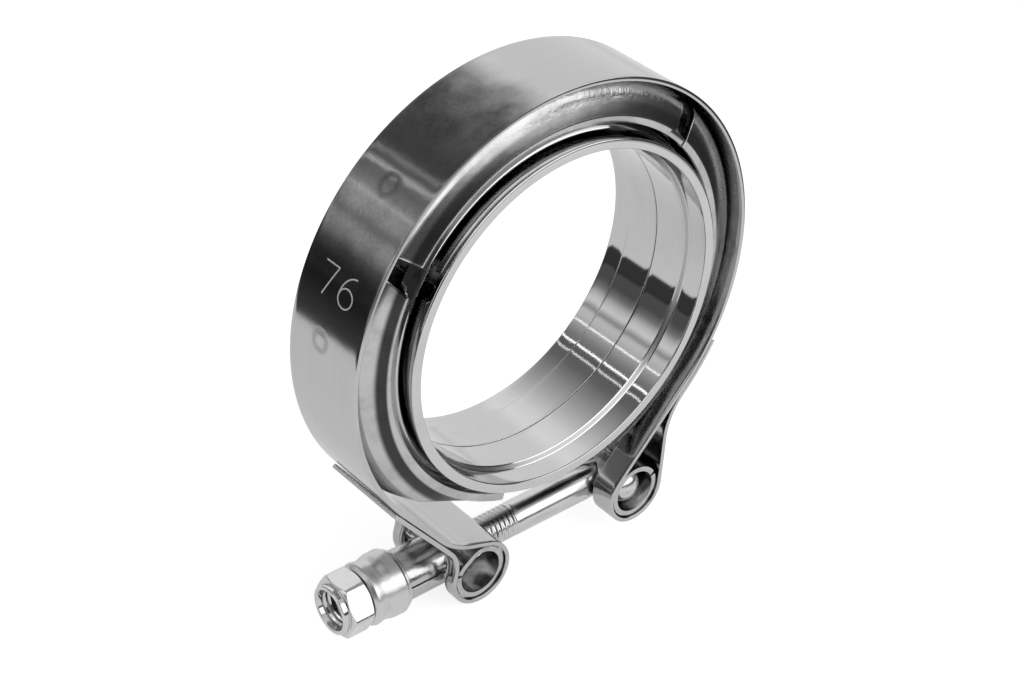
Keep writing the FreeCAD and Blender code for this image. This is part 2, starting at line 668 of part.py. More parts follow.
for item in doc.Objects:
    if any(word in str(item.State) for word in ("Invalid", "Error")):
        raise RuntimeError("%s didn't build: %s" % (item.Name, item.getStatusString()))
for body in doc.findObjects("PartDesign::Body"):
    if body.Shape.isNull() or not body.Shape.isValid() or len(body.Shape.Solids) != 1:
        raise RuntimeError("%s isn't one valid solid" % body.Label)
    body.Shape.exportStep("parts/%s.step" % body.Label)
    print(body.Label, round(body.Shape.Volume, 1))
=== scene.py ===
import json
import math
from collections import namedtuple
import bmesh
import bpy
import numpy as np
from mathutils import Matrix, Vector


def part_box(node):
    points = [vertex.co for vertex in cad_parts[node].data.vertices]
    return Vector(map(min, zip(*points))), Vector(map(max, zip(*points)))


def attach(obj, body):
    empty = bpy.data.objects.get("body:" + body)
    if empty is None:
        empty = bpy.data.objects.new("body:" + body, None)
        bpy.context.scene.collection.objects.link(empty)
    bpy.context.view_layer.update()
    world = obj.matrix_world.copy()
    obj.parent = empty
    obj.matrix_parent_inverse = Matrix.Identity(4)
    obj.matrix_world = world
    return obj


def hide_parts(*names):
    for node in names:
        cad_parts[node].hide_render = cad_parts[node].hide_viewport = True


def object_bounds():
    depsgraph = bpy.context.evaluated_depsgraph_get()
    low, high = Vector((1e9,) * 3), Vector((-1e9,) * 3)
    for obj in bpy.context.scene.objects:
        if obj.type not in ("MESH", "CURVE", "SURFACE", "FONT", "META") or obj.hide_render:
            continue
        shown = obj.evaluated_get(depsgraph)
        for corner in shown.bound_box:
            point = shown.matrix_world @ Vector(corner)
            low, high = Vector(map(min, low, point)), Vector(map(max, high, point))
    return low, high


bl_info = {
    "name": "V-band clamp",
    "version": (1, 0, 0),
    "blender": (4, 5, 0),
    "location": "View3D > Sidebar > Clamp",
    "description": "Builds the looks of a V-band clamp with its flanges, T-bolt and nut",
    "category": "Object",
}

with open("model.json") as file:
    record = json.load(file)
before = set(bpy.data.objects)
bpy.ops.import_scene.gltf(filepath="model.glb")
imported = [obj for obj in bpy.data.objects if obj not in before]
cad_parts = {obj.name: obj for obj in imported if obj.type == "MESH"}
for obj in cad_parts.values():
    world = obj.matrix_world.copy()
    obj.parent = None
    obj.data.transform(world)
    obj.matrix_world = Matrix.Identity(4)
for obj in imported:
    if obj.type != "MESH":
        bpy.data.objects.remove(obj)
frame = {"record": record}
CAD_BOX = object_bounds()
MM = 0.001


def node_reach(node, axis):
    """Half the extent of a CAD node along one axis, in millimetres."""
    low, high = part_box(node)
    return (high[axis] - low[axis]) / 2 / MM


def mount_radius(name):
    """Radius of a round mount in the record, in millimetres."""
    return next(m["dims"]["r_mm"] for m in frame["record"]["mounts"] if m["name"] == name)


def size(name, value, description):
    return bpy.props.FloatProperty(name=name, description=description + ", in millimetres", default=value)


def angle(name, value, description):
    return bpy.props.FloatProperty(name=name, description=description + ", in degrees", default=value)


def colour(name, value, description):
    return bpy.props.FloatVectorProperty(name=name, description=description, default=(value, value, value),
                                         subtype="COLOR", size=3, min=0.0, max=1.0)


class ClampSizes(bpy.types.PropertyGroup):
    """Sizes of the band, its loops and its retainers."""
    band_width: size("Band width", 2 * node_reach("band", 1), "Width of the strip")
    band_sheet: size("Band sheet", 1.0, "Thickness of the strip")
    sheet_edge: size("Sheet edge", 0.12, "Rounding of the edges of the strip and the retainers")
    ring_radius: size("Ring radius", 51.9, "Radius of the middle of the strip")
    layer_pitch: size("Layer pitch", 1.25, "Distance between the strip and its folded tail")
    loop_radius: size("Loop radius", 7.3, "Radius of the middle of the strip in its loops")
    left_loop_x: size("Left loop X", -15.897, "Place of the left loop across the clamp")
    left_loop_z: size("Left loop Z", -60.296, "Height of the left loop")
    right_loop_x: size("Right loop X", 28.981, "Place of the right loop across the clamp")
    right_loop_z: size("Right loop Z", -57.622, "Height of the right loop")
    strap_angle: angle("Strap angle", 47.0, "Fall of the left strap")
    strap_length: size("Strap length", 15.5, "Straight part of the left strap")
    strap_bend: size("Strap bend", 18.0, "Radius of the left strap's bend")
    left_tail_bend: size("Left tail bend", 8.0, "Radius of the bend into the left tail")
    left_tail_length: size("Left tail length", 23.0, "Straight part of the left tail")
    right_layer_pitch: size("Right layer pitch", 1.08, "Distance between the strip and its right tail")
    right_tail_bend: size("Right tail bend", 16.5, "Radius of the bend into the right tail")
    right_tail_start: angle("Right tail start", 40.7, "Place round the ring where the right tail begins")
    right_tail_end: angle("Right tail end", 26.0, "Place round the ring where the right tail ends")
    left_window: size("Left window", 15.4, "Width of the opening in the left loop")
    left_window_from: size("Left window from", -26.0, "Outer end of the opening in the left loop")
    left_window_to: size("Left window to", -4.0, "Inner end of the opening in the left loop")
    left_window_top: size("Left window top", -49.5, "Top of the opening in the left loop's outer side")
    left_window_roof_x: size("Left window roof X", -14.0, "Place where the opening's roof turns level")
    left_window_roof: size("Left window roof", -55.3, "Level roof of that opening, toward its inner end")
    right_window: size("Right window", 9.4, "Width of the opening in the right loop")
    right_window_from: size("Right window from", 18.0, "Inner end of the opening in the right loop")
    right_window_to: size("Right window to", 30.0, "Outer end of the opening in the right loop")
    right_window_top: size("Right window top", -47.0, "Top of the opening in the right loop")
    retainer_sheet: size("Retainer sheet", 1.5, "Thickness of the retainers")
    retainer_web: size("Retainer web", 51.38, "Outer radius of the retainers' webs")
    retainer_web_half: size("Retainer web half", 7.757, "Half the width of the retainers' webs")
    lip_radius: size("Lip radius", 42.4, "Inner radius of the retainers' lips")
    lip_height: size("Lip height", 1.6, "Height of the retainers' lips")
    lip_half: size("Lip half", 10.45, "Half the width over the retainers' lips")
    retainer_bend: size("Retainer bend", 8.6, "Outer radius of the retainers' bends")
    lip_bend: size("Lip bend", 0.9, "Outer radius of the bends into the lips")
    lip_bend_inside: size("Lip bend inside", 0.5, "Inner radius of the bends into the lips")
    lip_draft: size("Lip draft", 0.05, "Lean of the lips' faces toward their tips")
    top_start: angle("Top retainer start", 46.5, "Place round the ring where the top retainer begins")
    top_span: angle("Top retainer span", 101.5, "Length of the top retainer round the ring")
    top_notch: size("Top retainer notch", 4.1, "Length of the lips past the cut end of the top retainer")
    tongue_root: size("Tongue root", 1.5, "Length of those lips inside the top retainer")
    left_start: angle("Left retainer start", 152.7, "Place round the ring where the left retainer begins")
    left_span: angle("Left retainer span", 102.3, "Length of the left retainer round the ring")
    left_lead: size("Left retainer lead", 3.3, "Slope of the upper end of the left retainer")
    left_cut_height: size("Left cut height", 0.7, "Height of the cut lower end above the lip")
    left_cut_run: size("Left cut run", 14.5, "Length of the level part of the cut")
    left_cut_reach: size("Left cut reach", 34.0, "Length of the whole cut")
    left_cut_fall: size("Left cut fall", 5.8, "Fall of the sloped part of the cut")
    right_start: angle("Right retainer start", -62.7, "Place round the ring where the right retainer begins")
    right_span: angle("Right retainer span", 108.5, "Length of the right retainer round the ring")
    figure_angle: angle("Figure angle", 163.5, "Place round the ring of the foot of the engraved figures")
    figure_height: size("Figure height", 6.6, "Height of the engraved figures")
    figure_width: size("Figure width", 4.2, "Width of an engraved figure")
    figure_gap: size("Figure gap", 1.9, "Gap between the engraved figures")
    stroke: size("Stroke", 0.32, "Width of the engraved strokes")
    stroke_relief: size("Stroke relief", 0.04, "Height of the frosted strokes on the strip")


class FlangeSizes(bpy.types.PropertyGroup):
    """Sizes of the two flanges."""
    bore: size("Bore", mount_radius("gas_bore"), "Radius of the gas bore")
    socket: size("Socket", mount_radius("front_tube_socket"), "Radius of the tube sockets")
    socket_depth: size("Socket depth", 5.0, "Depth of the tube sockets")
    hub: size("Hub", 40.5, "Outer radius of the hubs")
    ridge: size("Ridge", node_reach("front_flange", 2), "Outer radius of the ridges")
    ridge_half: size("Ridge half", 7.9, "Half the width of the closed ridges at their rim")
    ridge_foot: size("Ridge foot", 9.03, "Half the width of the closed ridges at the hub")
    front_length: size("Front length", 13.5, "Length of the front flange")
    rear_length: size("Rear length", 15.6, "Length of the rear flange")
    edge_break: size("Edge break", 0.4, "Size of the broken edges")
    ridge_break: size("Ridge break", 1.0, "Size of the broken corners of the ridges")
    small_break: size("Small break", 0.15, "Size of the small broken edges")
    pilot_break: size("Pilot break", 0.1, "Size of the broken edges in the corners by the pilot lip")
    foot_fillet: size("Foot fillet", 0.5, "Fillet between the ridges and the hubs")
    face_gap: size("Face gap", 0.1, "Gap between the flanges")
    pilot: size("Pilot", 39.2, "Outer radius of the pilot lip")
    pilot_length: size("Pilot length", 0.8, "Length of the pilot lip")
    pilot_gap: size("Pilot gap", 0.3, "Gap round the pilot lip")


class BoltSizes(bpy.types.PropertyGroup):
    """Sizes along the bolt, measured from under the left loop's centre toward the nut."""
    drop: size("Bolt drop", 0.55, "Drop of the bolt below the line of the loops' centres")
    shank: size("Shank", 3.9, "Radius of the bolt")
    thread_pitch: size("Thread pitch", 1.25, "Pitch of the thread")
    thread_depth: size("Thread depth", 0.45, "Depth of the thread")
    thread_end: size("Thread end", -17.2, "Place where the thread runs out")
    thread_run: size("Thread run", 2.0, "Length over which the thread gains its depth")
    bolt_end: size("Bolt end", 30.0, "Place of the bolt's end in the nut")
    point: size("Point", 0.8, "Length of the tapered end of the bolt")
    bar: size("Cross bar", 4.3, "Radius of the cross bar")
    bar_half: size("Cross bar half", node_reach("t_bolt", 1), "Half the length of the cross bar")
    bar_dome: size("Cross bar dome", 3.8, "Depth of the cross bar's rounded ends")
    roll: size("Roll", 6.4, "Outer radius of the rolled tubes in the loops")
    roll_sheet: size("Rolled sheet", 1.2, "Thickness of the rolled tubes and of the barrel")
    roll_edge: size("Rolled edge", 0.15, "Rounding of the edges of the rolled tubes")
    roll_half: size("Roll half", node_reach("t_bolt_sleeve", 1), "Half the length of the rolled tubes")
    seam: size("Seam", 0.7, "Open seam of the rolled tubes")
    roll_seam: angle("Trunnion seam", 165.0, "Place round the trunnion's roll of its open seam")
    roll_flat: size("Trunnion flat", 0.55, "Depth of the flattened part of the trunnion's roll")
    sleeve_seam: angle("Sleeve seam", 25.0, "Place round the sleeve of its open seam")
    hole: size("Hole", 4.7, "Radius of the holes that the bolt passes through")
    barrel_seam: angle("Barrel seam", 172.0, "Place round the barrel of its closed seam, from +Y toward +Z")
    barrel: size("Barrel", 5.9, "Outer radius of the barrel")
    barrel_end: size("Barrel end", 17.0, "Place of the barrel's open end")
    barrel_edge: size("Barrel edge", 0.12, "Rounding of the edges of the barrel")
    barrel_slit: angle("Barrel slit", 2.005, "Half the opening of the barrel's seam")
    barrel_sink: size("Barrel sink", 0.5, "Depth of the barrel's foot in the trunnion's roll")
    collar_rim: size("Collar rim", 15.7, "Place of the collar's rim")
    collar_end: size("Collar end", 25.2, "Place of the collar's face against the nut")
    collar: size("Collar", 7.45, "Largest radius of the collar")
    collar_gap: size("Collar gap", 0.3, "Gap round the bolt and past the barrel's end in the collar")
    collar_hollow: size("Collar hollow", 6.2, "Radius of the collar's hollow")
    collar_neck: size("Collar neck", 6.4, "Radius of the collar's face against the nut")
    collar_waist: size("Collar waist", 7.0, "Radius of the collar's waist")
    nut_start: size("Nut start", 25.5, "Place of the nut's inner face")
    nut_hex: size("Nut hexagon end", 31.2, "Place of the hexagon's outer end")
    nut_end: size("Nut end", 32.6, "Place of the nut's outer face")
    nut_flats: size("Nut flats", 6.5, "Half the width across the nut's flats")
    nut_crown: size("Nut crown", 5.7, "Radius of the nut's crown")
    nut_mouth: size("Nut mouth", 4.75, "Radius of the nut's bore at its outer face")
    nut_mouth_depth: size("Nut mouth depth", 1.4, "Depth of the widened mouth of the nut's bore")
    nut_thread_gap: size("Nut thread gap", 0.08, "Gap between the bolt and the crests of the nut's thread")
    nut_thread_depth: size("Nut thread depth", 0.5, "Depth of the nut's thread")
    nut_turn: angle("Nut turn", 28.0, "Turn of the nut about the bolt")


class Finishes(bpy.types.PropertyGroup):
    """Base colours of the metals."""
    strip: colour("Strip", 0.5, "Polished stainless strip")
    sheet: colour("Sheet", 0.5, "Rolled sheet of the retainers")
    turned: colour("Turned", 0.56, "Turned steel of the flanges")
    rolled: colour("Rolled", 0.5, "Rolled tubes and barrel")
    plated: colour("Plated", 0.6, "Bright plated nut")
    satin: colour("Satin", 0.62, "Softer plating of the collar")
    figures: colour("Figures", 0.75, "Frosted strokes of the engraved figures")
    shank: colour("Shank", 0.62, "Bolt")


class StudioSizes(bpy.types.PropertyGroup):
    """Camera and studio."""
    azimuth: angle("Azimuth", -42.443, "Turn of the camera round the clamp")
    elevation: angle("Elevation", 32.874, "Height of the camera")
    roll: angle("Roll", 5.003, "Roll of the camera")
    distance: size("Distance", 444.7, "Distance of the camera")
    aside: size("Aside", 11.807, "Offset of the aim to the right in the picture")
    above: size("Above", 4.142, "Offset of the aim upwards in the picture")
    aim_y: size("Aim Y", -13.46, "Place of the camera's aim along the bore")
    lens: size("Lens", 76.706, "Focal length")
    floor_gap: size("Floor gap", 0.05, "Gap under the clamp's lowest point")


GROUPS = {"clamp_sizes": ClampSizes, "flange_sizes": FlangeSizes, "bolt_sizes": BoltSizes,
          "clamp_finishes": Finishes, "studio_sizes": StudioSizes}


def sizes(name):
    return getattr(bpy.context.scene, name)


class Value:
    """One number that varies over a surface, with arithmetic that adds Math nodes."""

    def __init__(self, nodes, socket):
        self.nodes = nodes
        self.socket = socket

    def math(self, operation, *others):
        made = self.nodes.node("ShaderNodeMath", {"operation": operation}, dict(enumerate((self, *others))))
        return Value(self.nodes, made.outputs[0])

    def __add__(self, other):
        return self.math("ADD", other)

    def __sub__(self, other):
        return self.math("SUBTRACT", other)

    def __mul__(self, other):
        return self.math("MULTIPLY", other)

    def __truediv__(self, other):
        return self.math("DIVIDE", other)

    def __rsub__(self, other):
        made = self.nodes.node("ShaderNodeMath", {"operation": "SUBTRACT"}, {0: other, 1: self})
        return Value(self.nodes, made.outputs[0])

    __radd__ = __add__
    __rmul__ = __mul__

    def between(self, low, high):
        """0 below low, 1 above high, and smooth in between."""
        made = self.nodes.node("ShaderNodeMapRange", {"interpolation_type": "SMOOTHSTEP"},
                               {"Value": self, "From Min": low, "From Max": high})
        return Value(self.nodes, made.outputs[0])


class Nodes:
    """A node tree, and the one way in which a node is added to it."""

    def __init__(self, tree):
        self.tree = tree

    def node(self, kind, settings=None, inputs=None):
        made = self.tree.nodes.new(kind)
        for key, value in (settings or {}).items():
            setattr(made, key, value)
        for key, value in (inputs or {}).items():
            self.feed(made.inputs[key], value)
        return made

    def feed(self, socket, value):
        if isinstance(value, Value):
            self.tree.links.new(value.socket, socket)
        elif isinstance(value, bpy.types.NodeSocket):
            self.tree.links.new(value, socket)
        else:
            socket.default_value = value

    def seen_directly(self):
        """1 for the camera, for reflections and for glass, and 0 for the light that the scene sheds."""
        path = self.node("ShaderNodeLightPath")
        camera, glossy, through = (Value(self, path.outputs["Is %s Ray" % name])
                                   for name in ("Camera", "Glossy", "Transmission"))
        return camera.math("MAXIMUM", glossy).math("MAXIMUM", through)


class Paint(Nodes):
    """A metal with its node tree."""

    def __init__(self, name, colour_value, roughness, metallic=1.0):
        self.material = bpy.data.materials.new(name)
        self.material.use_nodes = True
        super().__init__(self.material.node_tree)
        self.shader = self.tree.nodes["Principled BSDF"]
        self.shader.inputs["Metallic"].default_value = metallic
        self.shader.inputs["Roughness"].default_value = roughness
        self.shader.inputs["Base Color"].default_value = (*colour_value, 1.0)

    def place(self, coordinates="Object"):
        """Place on the piece, as X, Y and Z in millimetres."""
        source = self.node("ShaderNodeTexCoord").outputs[coordinates]
        split = self.node("ShaderNodeSeparateXYZ", inputs={0: source})
        return [Value(self, socket) * (1 / MM) for socket in split.outputs]

    def strip_place(self):
        """Place along and across the strip, in millimetres."""
        return self.place("UV")[:2]

    def noise(self, place, waves, detail=4.0, roughness=0.6, distortion=0.0):
        """Clouded noise over a place, with its waves per millimetre: one number, or one for each axis."""
        waves = waves if isinstance(waves, tuple) else (waves,) * len(place)
        scaled = [axis * wave for axis, wave in zip(place, waves)]
        vector = self.node("ShaderNodeCombineXYZ", inputs=dict(enumerate(scaled)))
        made = self.node("ShaderNodeTexNoise", inputs={"Vector": vector.outputs[0], "Scale": 1.0,
                                                       "Detail": detail, "Roughness": roughness,
                                                       "Distortion": distortion})
        return Value(self, made.outputs[0])

    def grey(self, value):
        """A grey whose brightness is a value."""
        return self.node("ShaderNodeCombineColor", inputs={0: value, 1: value, 2: value}).outputs[0]

    def set(self, name, value):
        self.feed(self.shader.inputs[name], value)

    def bump(self, height, depth):
        """Relief of the surface, with its full height in millimetres."""
        made = self.node("ShaderNodeBump", inputs={"Height": height, "Distance": depth * MM,
                                                   "Strength": 1.0})
        self.set("Normal", made.outputs[0])


# Points on a grid over u and v, closed round u or v or open, with the kept cells and the flat coordinates
Grid = namedtuple("Grid", "points round_u round_v kept flat", defaults=(False, False, None, None))


def smooth_mesh(name, parts):
    """Mesh of several grids of points, each with its faces outwards where u crosses v."""
    points, faces, flats, start = [], [], [], 0
    for grid, round_u, round_v, kept, flat in parts:
        count_u, count_v = grid.shape[:2]
        u = np.arange(count_u if round_u else count_u - 1)
        v = np.arange(count_v if round_v else count_v - 1)
        a, b = np.meshgrid(u, v, indexing="ij")
        c, d = (a + 1) % count_u, (b + 1) % count_v
        quads = np.stack([a * count_v + b, c * count_v + b, c * count_v + d, a * count_v + d], -1)
        if kept is not None:
            quads = quads[kept]
        quads = quads.reshape(-1, 4)
        points.append(grid.reshape(-1, 3))
        faces.append(quads + start)
        flats.append(np.zeros((count_u * count_v, 2)) if flat is None else flat.reshape(-1, 2))
        start += count_u * count_v
    points, faces, flats = np.concatenate(points), np.concatenate(faces), np.concatenate(flats)
    used = np.unique(faces)
    renumber = np.zeros(len(points), int)
    renumber[used] = np.arange(len(used))
    faces = renumber[faces]
    mesh = bpy.data.meshes.new(name)
    mesh.vertices.add(len(used))
    mesh.vertices.foreach_set("co", (points[used] * MM).astype(np.float32).ravel())
    mesh.loops.add(faces.size)
    mesh.loops.foreach_set("vertex_index", faces.astype(np.int32).ravel())
    mesh.polygons.add(len(faces))
    mesh.polygons.foreach_set("loop_start", np.arange(0, faces.size, 4, dtype=np.int32))
    mesh.polygons.foreach_set("loop_total", np.full(len(faces), 4, np.int32))
    mesh.update(calc_edges=True)
    mesh.validate()
    layer = mesh.uv_layers.new(name="Flat")
    layer.data.foreach_set("uv", (flats[used][faces.ravel()] * MM).astype(np.float32).ravel())
    mesh.polygons.foreach_set("use_smooth", np.ones(len(faces), bool))
    return mesh


def add_piece(name, parts, body, nodes, paint):
    """Object for one piece, in place of the CAD nodes that it stands for."""
    piece = bpy.data.objects.new(name, smooth_mesh(name, parts))
    bpy.context.scene.collection.objects.link(piece)
    piece.data.materials.append(paint.material)
    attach(piece, body)
    if nodes:
        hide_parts(*nodes)
    return piece


def wall(piece, thickness, offset, edge):
    """Give a surface its thickness and round its edges a little."""
    solid = piece.modifiers.new("Wall", "SOLIDIFY")
    solid.thickness = thickness * MM
    solid.offset = offset
    solid.use_even_offset = True
    round_edges(piece, edge)


def round_edges(piece, edge):
    """Round every sharp edge of a piece by a stated width."""
    bevel = piece.modifiers.new("Edge", "BEVEL")
    bevel.width = edge * MM
    bevel.segments = 2
    bevel.limit_method = "ANGLE"
    bevel.angle_limit = math.radians(50)


def corner_sides(last, corner, following, longest):
    """Unit vectors along a corner's two sides, half the angle between them, and how far a rounding may go."""
    to_last, to_next = last - corner, following - corner
    lengths = np.linalg.norm(to_last), np.linalg.norm(to_next)
    to_last, to_next = to_last / lengths[0], to_next / lengths[1]
    half = np.arccos(np.clip(to_last @ to_next, -1, 1)) / 2
    return to_last, to_next, half, longest * min(lengths)


def rounded(corners, radius, steps=5):
    """Closed outline with every corner rounded: each arc is a parabola that touches both sides.

    A corner is (x, y) or (x, y, its own radius).
    """
    points = np.array([corner[:2] for corner in corners], float)
    radii = [corner[2] if len(corner) > 2 else radius for corner in corners]
    share = np.linspace(0, 1, steps)[:, None]
    outline = []
    for i, (corner, size_here) in enumerate(zip(points, radii)):
        following = points[(i + 1) % len(points)]
        to_last, to_next, half, most = corner_sides(points[i - 1], corner, following, 0.49)
        reach = min(size_here / np.tan(half), most)
        start, end = corner + to_last * reach, corner + to_next * reach
        outline.append((1 - share) ** 2 * start + 2 * share * (1 - share) * corner + share ** 2 * end)
    return np.concatenate(outline)


def refined(outline, step):
    """Closed outline with more points on its long sides."""
    found = []
    for start, end in zip(outline, np.roll(outline, -1, axis=0)):
        count = max(1, int(np.linalg.norm(end - start) / step))
        found.append(start + (end - start) * np.linspace(0, 1, count, endpoint=False)[:, None])
    return np.concatenate(found)


def swung(outline, t):
    """Outline carried round Y: a point (r, y) of the outline at (r cos t, y, r sin t)."""
    r, y = outline[:, 0][None, :], outline[:, 1][None, :]
    return np.stack([r * np.cos(t), y + 0 * t, r * np.sin(t)], -1)


def heading_along(angle_value):
    return np.array([np.cos(angle_value), np.sin(angle_value)])


def heading_left(angle_value):
    return np.array([-np.sin(angle_value), np.cos(angle_value)])


def arc(centre, radius, begin, end, step=1.2):
    """Points at one radius from begin to end, in radians, no further apart than the step in degrees."""
    count = max(8, int(abs(math.degrees(end - begin)) / step))
    t = np.linspace(begin, end, count)[:, None]
    return centre + radius * np.concatenate([np.cos(t), np.sin(t)], 1)


def crossing(first, second, radii, left_first):
    """Heading of the straight run from a turn one way to a turn the other way."""
    gap = second - first
    lean = np.arcsin(radii / np.linalg.norm(gap))
    return np.arctan2(gap[1], gap[0]) + (lean if left_first else -lean)


def onward(angle_value, floor):
    """The same direction, as the first angle past a floor."""
    return angle_value + 2 * np.pi * np.ceil((floor - angle_value) / (2 * np.pi))


def chain(parts):
    """One path through straight runs and arcs that already meet: each next part drops its first point."""
    return np.concatenate([parts[0]] + [part[1:] for part in parts[1:]])


def band_left_path():
    """Middle of the strip from the top of the ring to the left: ring, strap, bend, loop and tail.

    Each turn is an arc that touches the run before it and the run after it.
    """
    c = sizes("clamp_sizes")
    heading = -math.radians(c.strap_angle)
    leave = -c.ring_radius * heading_left(heading)
    strap_end = leave + c.strap_length * heading_along(heading)
    bend_centre = strap_end + c.strap_bend * heading_left(heading)
    loop = np.array([c.left_loop_x, c.left_loop_z])
    drop = crossing(bend_centre, loop, c.strap_bend + c.loop_radius, True)
    back = heading + math.pi
    base = leave + (c.layer_pitch + c.left_tail_bend) * heading_left(back)
    offset = base - loop
    middle = offset @ heading_along(heading)
    reach = (c.left_tail_bend + c.loop_radius) ** 2 - (offset @ offset - middle ** 2)
    tail_centre = base - (middle + math.sqrt(reach)) * heading_along(heading)
    to_tail = tail_centre - loop
    climb = math.atan2(to_tail[1], to_tail[0]) - math.pi / 2
    tail_start = tail_centre - c.left_tail_bend * heading_left(back)
    quarter = math.pi / 2
    loop_begin = drop + quarter
    loop_end = -onward(-(climb + quarter), -loop_begin)
    run = np.linspace(0, 1, 12)[:, None]
    drop_start = bend_centre - c.strap_bend * heading_left(drop)
    drop_end = loop + c.loop_radius * heading_left(drop)
    return chain([
        arc(np.zeros(2), c.ring_radius, quarter, heading + 2 * math.pi - quarter),
        leave + (strap_end - leave) * run,
        arc(bend_centre, c.strap_bend, heading - quarter, drop - quarter, 2.0),
        drop_start + (drop_end - drop_start) * np.linspace(0, 1, 4)[:, None],
        arc(loop, c.loop_radius, loop_begin, loop_end, 4.0),
        arc(tail_centre, c.left_tail_bend, climb - quarter, onward(back - quarter, climb - quarter), 4.0),
        tail_start + c.left_tail_length * heading_along(back) * np.linspace(0, 1, 20)[:, None]])


def band_right_path():
    """Middle of the strip from the top of the ring to the right: ring, strap, loop, bend and tail."""
    c = sizes("clamp_sizes")
    tail_ring = c.ring_radius + c.right_layer_pitch
    loop = np.array([c.right_loop_x, c.right_loop_z])
    strap = crossing(np.zeros(2), loop, c.ring_radius + c.loop_radius, False)
    begin, end = -math.radians(c.right_tail_start), -math.radians(c.right_tail_end)
    bend_centre = (tail_ring + c.right_tail_bend) * heading_along(begin)
    rise = crossing(loop, bend_centre, c.loop_radius + c.right_tail_bend, True)
    quarter = math.pi / 2
    ring_end = strap + quarter
    strap_start = c.ring_radius * heading_left(strap)
    strap_end = loop - c.loop_radius * heading_left(strap)
    rise_start = loop - c.loop_radius * heading_left(rise)
    rise_end = bend_centre + c.right_tail_bend * heading_left(rise)
    run = np.linspace(0, 1, 10)[:, None]
    ring_end = -onward(-ring_end, -quarter)
    return chain([
        arc(np.zeros(2), c.ring_radius, quarter, ring_end),
        strap_start + (strap_end - strap_start) * run,
        arc(loop, c.loop_radius, strap - quarter, onward(rise - quarter, strap - quarter), 4.0),
        rise_start + (rise_end - rise_start) * run,
        arc(bend_centre, c.right_tail_bend, rise + quarter, begin + math.pi, 2.0),
        arc(np.zeros(2), tail_ring, begin, end)])


def strip_surface(path, across):
    """Strip along a path in XZ: point (u, v) is the path's point at u, moved by v along Y."""
    points = np.stack([path[:, 0][:, None] + 0 * across, 0 * path[:, :1] + across,
                       path[:, 1][:, None] + 0 * across], -1)
    length = np.concatenate([[0], np.cumsum(np.linalg.norm(np.diff(path, axis=0), axis=1))])
    flat = np.stack([length[:, None] + 0 * across, 0 * length[:, None] + across], -1)
    return points, flat


def cells_outside(path, across, half_width, roof):
    """Cells of a strip that lie outside a window in it, which is below a roof of straight runs in XZ."""
    middle = (path[:-1] + path[1:]) / 2
    x, z = np.array(roof).T
    inside_run = ((middle[:, 0] > x[0]) & (middle[:, 0] < x[-1])
                  & (middle[:, 1] < np.interp(middle[:, 0], x, z)))
    inside_width = np.abs((across[:-1] + across[1:]) / 2) < half_width
    return ~(inside_run[:, None] & inside_width[None, :])


def along_bolt(x, y, z):
    """Points of the bolt's own frame, X along the bolt from under the left loop's centre to the cross bar."""
    c, b = sizes("clamp_sizes"), sizes("bolt_sizes")
    tilt = math.atan2(c.right_loop_z - c.left_loop_z, c.right_loop_x - c.left_loop_x)
    base_x = c.left_loop_x + b.drop * math.sin(tilt)
    base_z = c.left_loop_z - b.drop * math.cos(tilt)
    x, y, z = np.broadcast_arrays(x, y, z)
    return np.stack([base_x + x * math.cos(tilt) - z * math.sin(tilt), y,
                     base_z + x * math.sin(tilt) + z * math.cos(tilt)], -1)


def bolt_span():
    """Distance between the two loops' centres."""
    c = sizes("clamp_sizes")
    return math.hypot(c.right_loop_x - c.left_loop_x, c.right_loop_z - c.left_loop_z)


def rolled_tube(centre_x, seam, hole, hole_radius, flat=0.0):
    """Rolled sheet with a round hole, unrolled as a rectangle: rings go from the hole's edge to the rim.

    The hole's edge is where a cylinder of its radius along the bolt meets the tube, and each ring lies a
    share of the way from it to the rectangle's rim, measured along the sheet. Angles go from X toward Z.
    Next to the seam the sheet is flattened by up to a stated depth, as a squared sine of the angle.
    """
    b = sizes("bolt_sizes")
    radius = b.roll - b.roll_sheet / 2
    gap = b.seam / 2 / radius
    low = (math.radians(seam - hole) % (2 * math.pi)) - 2 * math.pi + gap
    high = low + 2 * math.pi - 2 * gap
    side, rise = 40, 36
    right = np.stack([np.full(side, high), np.linspace(-1, 1, side, endpoint=False)], -1)
    top = np.stack([np.linspace(high, low, rise * 2, endpoint=False), np.ones(rise * 2)], -1)
    left = np.stack([np.full(side, low), np.linspace(1, -1, side, endpoint=False)], -1)
    bottom = np.stack([np.linspace(low, high, rise * 2, endpoint=False), -np.ones(rise * 2)], -1)
    rim = np.concatenate([right, top, left, bottom]) * np.array([1.0, b.roll_half])
    bearing = np.arctan2(rim[:, 1] / b.roll_half, np.clip(rim[:, 0], -1.2, 1.2))
    p, q = hole_radius * np.cos(bearing), hole_radius * np.sin(bearing)
    edge = np.stack([np.arcsin(p / radius), q], -1)
    crowding, flattened = 1.3, math.radians(80.0)
    share = np.linspace(0, 1, 28)[None, :, None] ** crowding
    spread = edge[:, None, :] * (1 - share) + rim[:, None, :] * share
    angle_here = math.radians(hole) + spread[..., 0]
    from_seam = (math.radians(seam) - angle_here) % (2 * math.pi)
    radius = radius - flat * np.sin(np.clip(from_seam / flattened, 0, 1) * math.pi) ** 2
    return along_bolt(centre_x + radius * np.cos(angle_here), spread[..., 1],
                      b.drop + radius * np.sin(angle_here))


